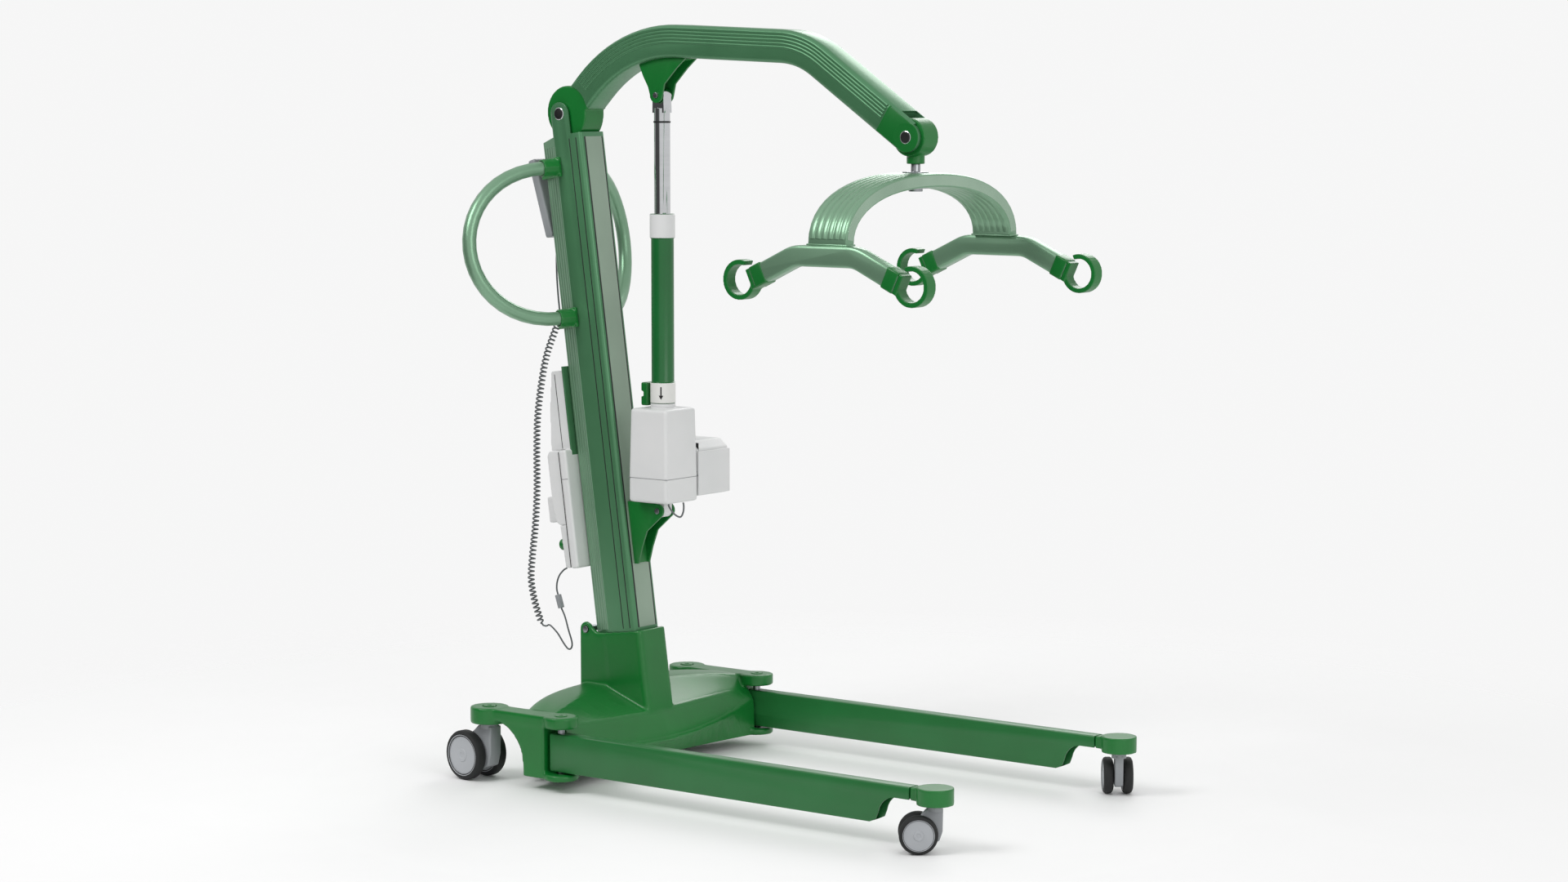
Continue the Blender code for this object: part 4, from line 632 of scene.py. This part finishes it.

# %% [markdown]
# ## Mast
# The mast is an extrusion, so whatever it has runs from end to end: ribs along the tapered rear
# flanks in a paler green that is a painted highlight, black strips of painted shade in the grooves down
# each side, and a grey strip let into the front with painted shade in the slots beside it. Each is
# drawn as a section in the mast's own leaning axes and carried along it, which keeps them parallel.

# %%
LEAN = math.radians(7.9)
MAST = Matrix.Translation((-0.3164, 0, 0.030)) @ Matrix.Rotation(-LEAN, 4, "Y")
MAST_LOW, MAST_HIGH = 0.272, 1.318
RIB_ROOT = 0.0004


def riding(obj, node):
    """A new piece that moves with the body of a solid."""
    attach(obj, BODY[node])
    return obj


def side_word_of(side):
    return "left" if side > 0 else "right"


def mast_bar(name, size, centre, material):
    """A thin bar placed in the mast's own axes."""
    return block(name, size, (0, 0, 0), material, MAST @ Matrix.Translation(centre), 0.0004)


def half_round(centre, along, out, width, height, count=8):
    """A corrugation's section: a low arch of points, standing out from a face."""
    points = []
    for i in range(count + 1):
        angle = math.pi * i / count
        lift = height * math.sin(angle) - RIB_ROOT
        points.append(centre - along * (width / 2) * math.cos(angle) + out * lift)
    return [tuple(p) for p in points]


def upright(name, section, low, high, material):
    """A mast-local (u, y) section drawn out along the mast."""

    def build(shape):
        rows = []
        for w in (low, high):
            rows.append([shape.verts.new(MAST @ Vector((u, y, w))) for u, y in section])
        for k in range(len(section)):
            j = (k + 1) % len(section)
            shape.faces.new((rows[0][k], rows[0][j], rows[1][j], rows[1][k]))
        shape.faces.new(rows[0])
        shape.faces.new(rows[1])

    return link(name, mesh_of(build), material, 50)


ribs = []
tall = MAST_HIGH - MAST_LOW
middle_w = (MAST_HIGH + MAST_LOW) / 2
for side in (-1, 1):
    start = Vector((-0.075, side * 0.039))
    end = Vector((-0.124, side * 0.020))
    along = (end - start).normalized()
    out = Vector((along.y, -along.x))
    out = out if out.y * side > 0 else -out
    for k in range(5):
        centre = start.lerp(end, (k + 0.55) / 5.1)
        section = half_round(centre, along, out, 0.0092, 0.0022)
        ribs.append(upright("rib", section, MAST_LOW, MAST_HIGH - 0.012, PROFILE))
# The ribs take the paler green, a painted highlight where the rear flanks face the light.
riding(merged("mast_ribs", ribs, PALE), "mast")
# Black strips in the side grooves and in the slots beside the front strip: painted shade in the
# recesses.
lines = []
for side in (-1, 1):
    for u in (-0.034, -0.0155):
        at = (u, side * 0.0391, middle_w)
        lines.append(mast_bar("line", (0.0022, 0.0008, tall), at, BLACK))
for side in (-1, 1):
    at = (0.0001, side * 0.0280, middle_w)
    lines.append(mast_bar("slot", (0.0008, 0.0036, tall), at, BLACK))
riding(merged("mast_grooves", lines, BLACK), "mast")
strip = mast_bar("mast_front_strip", (0.0012, 0.0520, tall), (0.0003, 0, middle_w), STRIP)
riding(strip, "mast")
print(f"mast details {tall:.3f} m long")

# %% [markdown]
# ## Control box
# Two moulded shells meet along each side of the box, and ridges on the battery give the fingers a
# grip. A shallow dark bar is painted shade along each joint line, where a real cut would be, and keeps
# the shell whole.

# %%
for side in (-1, 1):
    word = side_word_of(side)
    at_box, at_neck = (-0.1436, side * 0.0601, 0.5350), (-0.1510, side * 0.0361, 0.7450)
    # Dark bars on the joint lines: painted shade in the gaps between the shells.
    lines = [
        mast_bar("line", (0.0018, 0.0008, 0.2480), at_box, BLACK),
        mast_bar("line", (0.0016, 0.0008, 0.1600), at_neck, BLACK),
    ]
    riding(merged(f"control_box_slot_{word}", lines, BLACK), "control_box")
    at_seam = (-0.1340, side * 0.0601, 0.6000)
    seam = mast_bar(f"control_box_seam_{word}", (0.0190, 0.0008, 0.0012), at_seam, SEAM)
    riding(seam, "control_box")
GRIP_COUNT, GRIP_SPACING = 7, 0.0120
grips = []
for k in range(GRIP_COUNT):
    at = (-0.1790, 0, 0.5450 + GRIP_SPACING * k)
    grips.append(mast_bar("grip", (0.0024, 0.0900, 0.0040), at, HOUSING))
riding(merged("battery_finger_ribs", grips, HOUSING), "battery_pack")
plate = mast_bar("neck_mounting_plate", (0.0040, 0.0760, 0.1900), (-0.1262, 0, 0.7450), PROFILE)
riding(plate, "control_box")
print(f"{GRIP_COUNT} finger ribs on the battery")

# %% [markdown]
# ## Arm
# The arm is the same kind of extrusion, bent twice: five fine ribs run along the upper half of each
# side. A cast cap closes its tip, with cheeks over the pivot pin, and a plain white label sits on it.
# The ribs follow the same straights and bends that give the arm its length.

# %%
KNUCKLE = Vector((-0.5593 + 0.0161, 0, 1.3826 + 0.0034))
RISE, LEVEL, DROP = math.radians(45.0), math.radians(-2.5), math.radians(-34.0)
ARM_HALF = 0.034
ARM_RIB_COUNT, ARM_RIB_SPACING = 5, 0.0070


def arm_line():
    """The arm's middle line, from the knuckle to the tip."""
    points = [KNUCKLE.copy()]

    def straight(length, angle):
        points.append(points[-1] + Vector((length * math.cos(angle), 0, length * math.sin(angle))))

    def bend(radius, start, end, count):
        for i in range(count):
            chord = 2 * radius * math.sin(abs(end - start) / (2 * count))
            straight(chord, start + (end - start) * (i + 0.5) / count)

    straight(0.077, RISE)
    bend(0.320, RISE, LEVEL, 24)
    straight(0.272, LEVEL)
    bend(0.187, LEVEL, DROP, 16)
    straight(0.2655, DROP)
    return points


ARM_LINE = arm_line()
root_way = (ARM_LINE[1] - ARM_LINE[0]).normalized()
tip_way = (ARM_LINE[-1] - ARM_LINE[-2]).normalized()
rib_line = [ARM_LINE[0] + root_way * 0.070, *ARM_LINE[1:-1], ARM_LINE[-1] - tip_way * 0.072]
arm_ribs = []
for side in (-1, 1):
    for k in range(ARM_RIB_COUNT):
        up = -0.0050 + ARM_RIB_SPACING * k
        face = side * ARM_HALF
        middle = Vector((face, up + 0.0032))
        section = half_round(middle, Vector((0, 1)), Vector((side, 0)), 0.0066, 0.0021)
        arm_ribs.append(sweep("rib", rib_line, section, PROFILE))
riding(merged("arm_ribs", arm_ribs, PROFILE), "arm")
TIP = Matrix.Translation(ARM_LINE[-1]) @ Matrix.Rotation(-DROP, 4, "Y")
label = block("plain_label", (0.019, 0.0008, 0.0125), (-0.052, -0.0346, 0.0215), WHITE, TIP, 0.0002)
cap = block("arm_tip_cap_lip", (0.0050, 0.0696, 0.0610), (-0.0655, 0, 0), CAST, TIP, 0.0016)
riding(cap, "arm")


def facing_out(x, y, z, side):
    """A place on one side of the arm, with the lathe's axis pointing away from it."""
    return Matrix.Translation((x, y, z)) @ Matrix.Rotation(-side * math.pi / 2, 4, "X")


BOSS = [(0.0, 0.0), (0.0298, 0.0), (0.0298, 0.0012), (0.0290, 0.0017), (0.0, 0.0017)]
PIN_HEAD = [(0.0, 0.0), (0.0098, 0.0), (0.0098, 0.0010), (0.0088, 0.0018), (0.0, 0.0014)]
PIVOT_RING = [(0.0100, 0.0), (0.0132, 0.0), (0.0132, 0.0008), (0.0120, 0.0016), (0.0100, 0.0016)]
PIN_RING = [(0.0098, 0), (0.0128, 0), (0.0128, 0.0008), (0.0116, 0.0015), (0.0098, 0.0015)]
tip = ARM_LINE[-1]
for side in (-1, 1):
    word = side_word_of(side)
    cheek_at = (-0.032, side * 0.0343, 0)
    cheek = block("cheek", (0.064, 0.0016, 0.0580), cheek_at, CAST, TIP, 0.0006)
    boss = turned("boss", BOSS, facing_out(tip.x, side * 0.0335, tip.z, side), CAST)
    riding(merged(f"arm_tip_cheek_{word}", [cheek, boss], CAST), "arm")
    ends = facing_out(tip.x, side * 0.0350, tip.z, side)
    riding(turned(f"hub_pin_head_{word}", PIN_HEAD, ends, BLACK), "hub_pin")
    pivot = MAST @ facing_out(-0.0547, side * 0.0390, 1.3732, side)
    riding(turned(f"arm_pivot_ring_{word}", PIVOT_RING, pivot, CHROME), "arm_pivot_pin")
riding(label, "arm")
for side in (-1, 1):
    ends = facing_out(tip.x, side * 0.0350, tip.z, side)
    ring = turned(f"hub_pin_ring_{side_word_of(side)}", PIN_RING, ends, CHROME)
    riding(ring, "hub_pin")
print(f"arm line {route_length(ARM_LINE):.3f} m")

# %% [markdown]
# ## Spreader
# The arch is a wide strip bent into a flattened half circle, with shallow ridges on both faces and
# pale strips along its edges that are painted highlights. A bar is welded under each foot, with a cast
# sleeve at each end for its hook. The ridges and edge highlights are carried along the arch's own
# curve, a little flatter than a circle.

# %%
HUB_X = 0.3397
arch = []
half_span, foot, rise = 0.281, 1.1383, 1.2705 - 0.0135 - 1.1383
ARCH_STEPS, SQUARENESS, CROWDING = 28, 2.25, 1.15
for i in range(ARCH_STEPS + 1):
    angle = math.pi / 2 * (i / ARCH_STEPS) ** CROWDING
    across = half_span * math.sin(angle) ** (2 / SQUARENESS)
    arch.append((HUB_X, across, foot + rise * max(math.cos(angle), 0) ** (2 / SQUARENESS)))
arch_line = [(x, -y, z) for x, y, z in reversed(arch[1:])] + arch
arch_line = [p for p in arch_line if p[2] > foot + 0.004]
arch_ribs = []
for k in range(6):
    place = -0.0350 + 0.0140 * k
    for face, way in ((0.0135, 1), (-0.0135, -1)):
        middle = Vector((place, face))
        section = half_round(middle, Vector((1, 0)), Vector((0, way)), 0.0118, 0.0016)
        arch_ribs.append(sweep("rib", arch_line, section, PALE))
riding(merged("arch_ribs", arch_ribs, PALE), "spreader_arch")
# Thin pale strips on the arch's two edges: a painted highlight.
edges = []
for place in (-0.0462, 0.0462):
    near, far = place - 0.0006, place + 0.0006
    section = [(near, -0.0100), (far, -0.0100), (far, 0.0100), (near, 0.0100)]
    edges.append(sweep("edge", arch_line, section, EDGE_HIGHLIGHT))
riding(merged("arch_polished_edges", edges, EDGE_HIGHLIGHT), "spreader_arch")

for side_word, side in (("left", 1), ("right", -1)):
    for end_word, end in (("front", 1), ("rear", -1)):
        place = Matrix.Translation((HUB_X + end * 0.205, side * 0.292, 1.0665))
        turn = Matrix.Rotation(0 if end > 0 else math.pi, 4, "Z")
        fall = Matrix.Rotation(math.radians(25), 4, "Y")
        slope = place @ turn @ Matrix.Translation((-0.034, 0, 0.005)) @ fall
        name = f"bar_end_sleeve_{end_word}_{side_word}"
        sleeve = block(name, (0.030, 0.0344, 0.0434), (-0.0148, 0, 0), CAST, slope, 0.0035)
        riding(sleeve, f"spreader_bar_{side_word}")
for side in (-1, 1):
    name = f"arch_weld_bead_{side_word_of(side)}"
    at = (HUB_X, side * half_span, 1.1394)
    bead = block(name, (0.0970, 0.0300, 0.0036), at, PALE, bevel=0.0016)
    riding(bead, "spreader_arch")
print(f"arch line {route_length(arch_line):.3f} m, {len(arch_ribs)} ridges")

# %% [markdown]
# ## Casters
# A twin-wheel caster has two wheels on one axle, with the fork's body between them. Each wheel has a
# rounded rubber tyre on a dished disc. Wheels are turned shapes, so each is a lathe profile about the
# axle, and the fork is an outline given the thickness of the gap between the wheels.

# %%
FRONT = {
    "radius": 0.0375, "width": 0.022, "gap": 0.018, "trail": 0.032,
    "head": 0.0917, "stem": 0.0150, "x": 0.6215,
}
REAR = {
    "radius": 0.052, "width": 0.026, "gap": 0.032, "trail": 0.0425,
    "head": 0.1222, "stem": 0.0190, "x": REAR_AXIS_X,
}
YAW = {"front_right": -142.6, "front_left": 127.4, "rear_right": 174.0, "rear_left": 160.0}


def tyre_profile(r, half):
    """A tyre's section as (radius, height), with a flat tread and rounded shoulders."""
    inner = 0.76 * r
    return [(inner, -half + 0.002), (r - 0.006, -half + 0.0006), (r - 0.0018, -half + 0.0030),
            (r, -half + 0.0066), (r, half - 0.0066), (r - 0.0018, half - 0.0030),
            (r - 0.006, half - 0.0006), (inner, half - 0.002)]


def disc_profile(r, half, way):
    """One face of a wheel's cover: a small hub, a dish and a raised rim."""
    outer = 0.84 * r
    points = [
        (0.0, half - 0.0016), (0.10 * r, half - 0.0016), (0.13 * r, half - 0.0006),
        (0.24 * r, half - 0.0006), (0.27 * r, half - 0.0022), (outer - 0.0040, half - 0.0034),
        (outer - 0.0015, half - 0.0010), (outer, half - 0.0014), (outer, half - 0.0060),
    ]
    return [(a, way * b) for a, b in points]


def fork_hood(name, size, matrix):
    """The grey body between a caster's wheels: a neck, a wall round the axle, and its boss."""
    r, trail, stem, head = size["radius"], size["trail"], size["stem"], size["head"]
    outline = [(stem, head - 0.006), (trail * 0.80, 2 * r - 0.001)]
    boss = 0.34 * r
    for a in [math.radians(70 - 20 * k) for k in range(9)]:
        outline.append((trail + boss * math.cos(a), r + boss * math.sin(a)))
    outline += [(trail - 0.62 * r, 0.46 * r), (-stem * 0.55, 0.62 * r)]
    outline += [(-stem * 0.95, 1.1 * r), (-stem, head - 0.006)]
    half = size["gap"] / 2 - 0.0008

    def build(shape):
        rows = [[shape.verts.new((x, way * half, z)) for x, z in outline] for way in (-1, 1)]
        for k in range(len(outline)):
            j = (k + 1) % len(outline)
            shape.faces.new((rows[0][k], rows[0][j], rows[1][j], rows[1][k]))
        shape.faces.new(rows[0])
        shape.faces.new(rows[1])
        bmesh.ops.transform(shape, matrix=matrix, verts=shape.verts)

    web = link(name, mesh_of(build), GREY, 40)
    edge = web.modifiers.new("edge", "BEVEL")
    edge.width = 0.0028
    edge.segments = 3
    edge.limit_method = "ANGLE"
    edge.angle_limit = math.radians(40)
    baked(web, 50)
    low = head - 0.012
    profile = [(0.0, low), (stem, low), (stem, head - 0.002), (stem - 0.0015, head), (0.0, head)]
    neck = turned("neck", profile, matrix, GREY, 40)
    return merged(name, [web, neck], GREY)


for corner, yaw in YAW.items():
    size = FRONT if corner.startswith("front") else REAR
    y = HALF_TRACK if corner.endswith("left") else -HALF_TRACK
    swivel = Matrix.Translation((size["x"], y, 0)) @ Matrix.Rotation(math.radians(yaw), 4, "Z")
    across = Matrix.Rotation(math.pi / 2, 4, "X")
    axle_place = swivel @ Matrix.Translation((size["trail"], 0, size["radius"])) @ across
    half = size["width"] / 2
    tyres, discs = [], []
    for way in (-1, 1):
        centre = axle_place @ Matrix.Translation((0, 0, way * (size["gap"] / 2 + half)))
        tyres.append(turned("tyre", tyre_profile(size["radius"], half), centre, TYRE))
        for face in (-1, 1):
            discs.append(turned("disc", disc_profile(size["radius"], half, face), centre, DISC))
    tyre = merged(f"{corner}_tyres", tyres, TYRE)
    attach(tyre, BODY[f"{corner}_wheels"])
    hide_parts(f"{corner}_wheels")
    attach(merged(f"{corner}_discs", discs, DISC), BODY[f"{corner}_wheels"])
    reach = size["gap"] / 2 + 0.004
    rod = [(0.0, -reach), (0.0038, -reach), (0.0038, reach), (0.0, reach)]
    axle = turned(f"{corner}_axle", rod, axle_place, ZINC, 24)
    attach(axle, BODY[f"{corner}_wheels"])
    hood = fork_hood(f"{corner}_hood", size, swivel)
    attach(hood, BODY[f"{corner}_fork"])
    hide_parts(f"{corner}_fork")
print(f"{len(YAW)} casters, {2 * len(YAW)} wheels")

# %% [markdown]
# ## Actuator
# White collars hold the tube, a dark ring marks the rod's end, and dark seams of painted shade show
# where the motor's shells meet. An arrow by the release shows which way it moves. It is cut out as a
# thin solid, since a printed mark would need an image.

# %%
def ring_at(name, radius, low, high, material, node):
    """A thin sleeve round the actuator's axis, with a small chamfer at each end."""
    inner = radius - 0.001
    profile = [(inner, low), (radius, low + 0.0008), (radius, high - 0.0008), (inner, high)]
    return riding(turned(name, profile, Matrix.Translation((ACTUATOR_X, 0, 0)), material), node)


ring_at("tube_upper_collar", 0.0266, 1.1255, 1.1750, HOUSING, "actuator_tube")
ring_at("tube_lower_collar", 0.0266, 0.7790, 0.8215, WHITE, "actuator_tube")
ring_at("rod_end_ring", 0.0182, 1.3650, 1.3690, BLACK, "actuator_rod")
toward = Matrix.Translation((ACTUATOR_X, 0, 0.7985)) @ Matrix.Rotation(math.radians(-60), 4, "Z")
shaft_at = (0.0262, 0, 0.0060)
shaft = block("arrow_shaft", (0.0012, 0.0030, 0.0180), shaft_at, BLACK, toward, 0.0002)


def build_arrow(shape):
    corners = [(-0.0048, -0.0030), (0.0048, -0.0030), (0, -0.0120)]
    rows = []
    for x in (0.0256, 0.0268):
        rows.append([shape.verts.new(toward @ Vector((x, across, up))) for across, up in corners])
    for k in range(3):
        j = (k + 1) % 3
        shape.faces.new((rows[0][k], rows[0][j], rows[1][j], rows[1][k]))
    shape.faces.new(rows[0])
    shape.faces.new(rows[1])


arrow = merged("release_arrow", [shaft, link("arrow_head", mesh_of(build_arrow), BLACK)], BLACK)
riding(arrow, "actuator_tube")
# The seams and the parting line are dark strips of painted shade where the shells meet.
SHELL_PIECES = (
    ("housing_seam", (0.1040, 0.1070, 0.0011), (0, 0, 0.6220), SEAM, 0.0003),
    ("motor_parting_line", (0.1006, 0.1066, 0.0011), (-0.001, 0.1068, 0.6300), SEAM, 0.0003),
    ("motor_cover_plate", (0.0050, 0.1060, 0.0930), (0.0510, 0.1065, 0.6270), HOUSING, 0.0018),
    ("motor_seam", (0.0990, 0.0008, 0.1100), (-0.001, 0.0585, 0.636), BLACK, 0.0002),
)
for name, size, (ahead, y, z), material, bevel in SHELL_PIECES:
    piece = block(name, size, (ACTUATOR_X + ahead, y, z), material, bevel=bevel)
    riding(piece, "actuator_housing" if name.startswith("housing") else "actuator_motor")
print(f"{len(SHELL_PIECES)} seams and covers on the actuator")

# %% [markdown]
# ## Floor and light
# A studio has a pale floor that runs up into a pale wall. A curved sheet could do that, but it would
# show an edge from some sides, so the floor is flat and fades out with distance from the hoist. The
# hoist is lit by an even sky with one darker patch, which gives chrome and gloss something to
# reflect, and by three soft lamps.

# %%
pale = finish_of("pale_studio_floor", "#f6f6f6", "#f5f5f5", 0.9, grain=30, depth=0.0)
tree = pale.node_tree
spot = add_node(tree, "ShaderNodeNewGeometry")
reach = add_node(tree, "ShaderNodeVectorMath", {0: spot.outputs["Position"]}, operation="LENGTH")
fade = add_node(tree, "ShaderNodeMapRange", {"Value": reach.outputs["Value"]})
fade.inputs["From Min"].default_value = 1.0
fade.inputs["From Max"].default_value = 2.4
clear = add_node(tree, "ShaderNodeBsdfTransparent")
paint = tree.nodes["Principled BSDF"].outputs[0]
mix = add_node(tree, "ShaderNodeMixShader", {0: fade.outputs["Result"], 1: paint})
tree.links.new(clear.outputs[0], mix.inputs[2])
tree.links.new(mix.outputs[0], tree.nodes["Material Output"].inputs["Surface"])
FLOOR_HALF = 30
FLOOR_DROP = 0.0004


def build_floor(shape):
    bmesh.ops.create_grid(shape, x_segments=1, y_segments=1, size=FLOOR_HALF)


floor = link("floor", mesh_of(build_floor), pale)
floor.location.z = -FLOOR_DROP
world = bpy.data.worlds.new("studio")
bpy.context.scene.world = world
world.use_nodes = True
tree = world.node_tree
even = tree.nodes["Background"]
even.inputs["Color"].default_value = (0.925, 0.925, 0.925, 1)
way = add_node(tree, "ShaderNodeTexCoord")
dot = add_node(tree, "ShaderNodeVectorMath", {0: way.outputs["Generated"]}, operation="DOT_PRODUCT")
dot.inputs[1].default_value = (-0.60, -0.80, -0.05)
ramp = add_node(tree, "ShaderNodeValToRGB", {"Fac": dot.outputs["Value"]})
ramp.color_ramp.elements[0].position = 0.66
ramp.color_ramp.elements[1].position = 0.86
ramp.color_ramp.elements[0].color = (0.72, 0.72, 0.72, 1)
ramp.color_ramp.elements[1].color = (0.07, 0.07, 0.07, 1)
soft = add_node(tree, "ShaderNodeBackground", {"Color": ramp.outputs["Color"]})
ray = add_node(tree, "ShaderNodeLightPath")
seen = {0: ray.outputs["Is Camera Ray"], 1: soft.outputs[0], 2: even.outputs[0]}
both = add_node(tree, "ShaderNodeMixShader", seen)
tree.links.new(both.outputs[0], tree.nodes["World Output"].inputs["Surface"])


def area(name, place, target, size, power):
    """A square soft lamp that points at a place."""
    lamp = bpy.data.lights.new(name, "AREA")
    lamp.size = size
    lamp.energy = power
    obj = bpy.data.objects.new(name, lamp)
    bpy.context.scene.collection.objects.link(obj)
    obj.location = place
    obj.rotation_euler = (Vector(target) - Vector(place)).to_track_quat("-Z", "Y").to_euler()


area("key", (-1.6, -3.6, 4.2), (0, 0, 0.8), 2.2, 105)
area("fill", (4.5, -1.5, 2.4), (0, 0, 0.8), 2.5, 40)
area("rim", (-1.5, 4.0, 3.2), (0, 0, 1.0), 2.2, 50)
bpy.context.scene.view_settings.view_transform = "Standard"
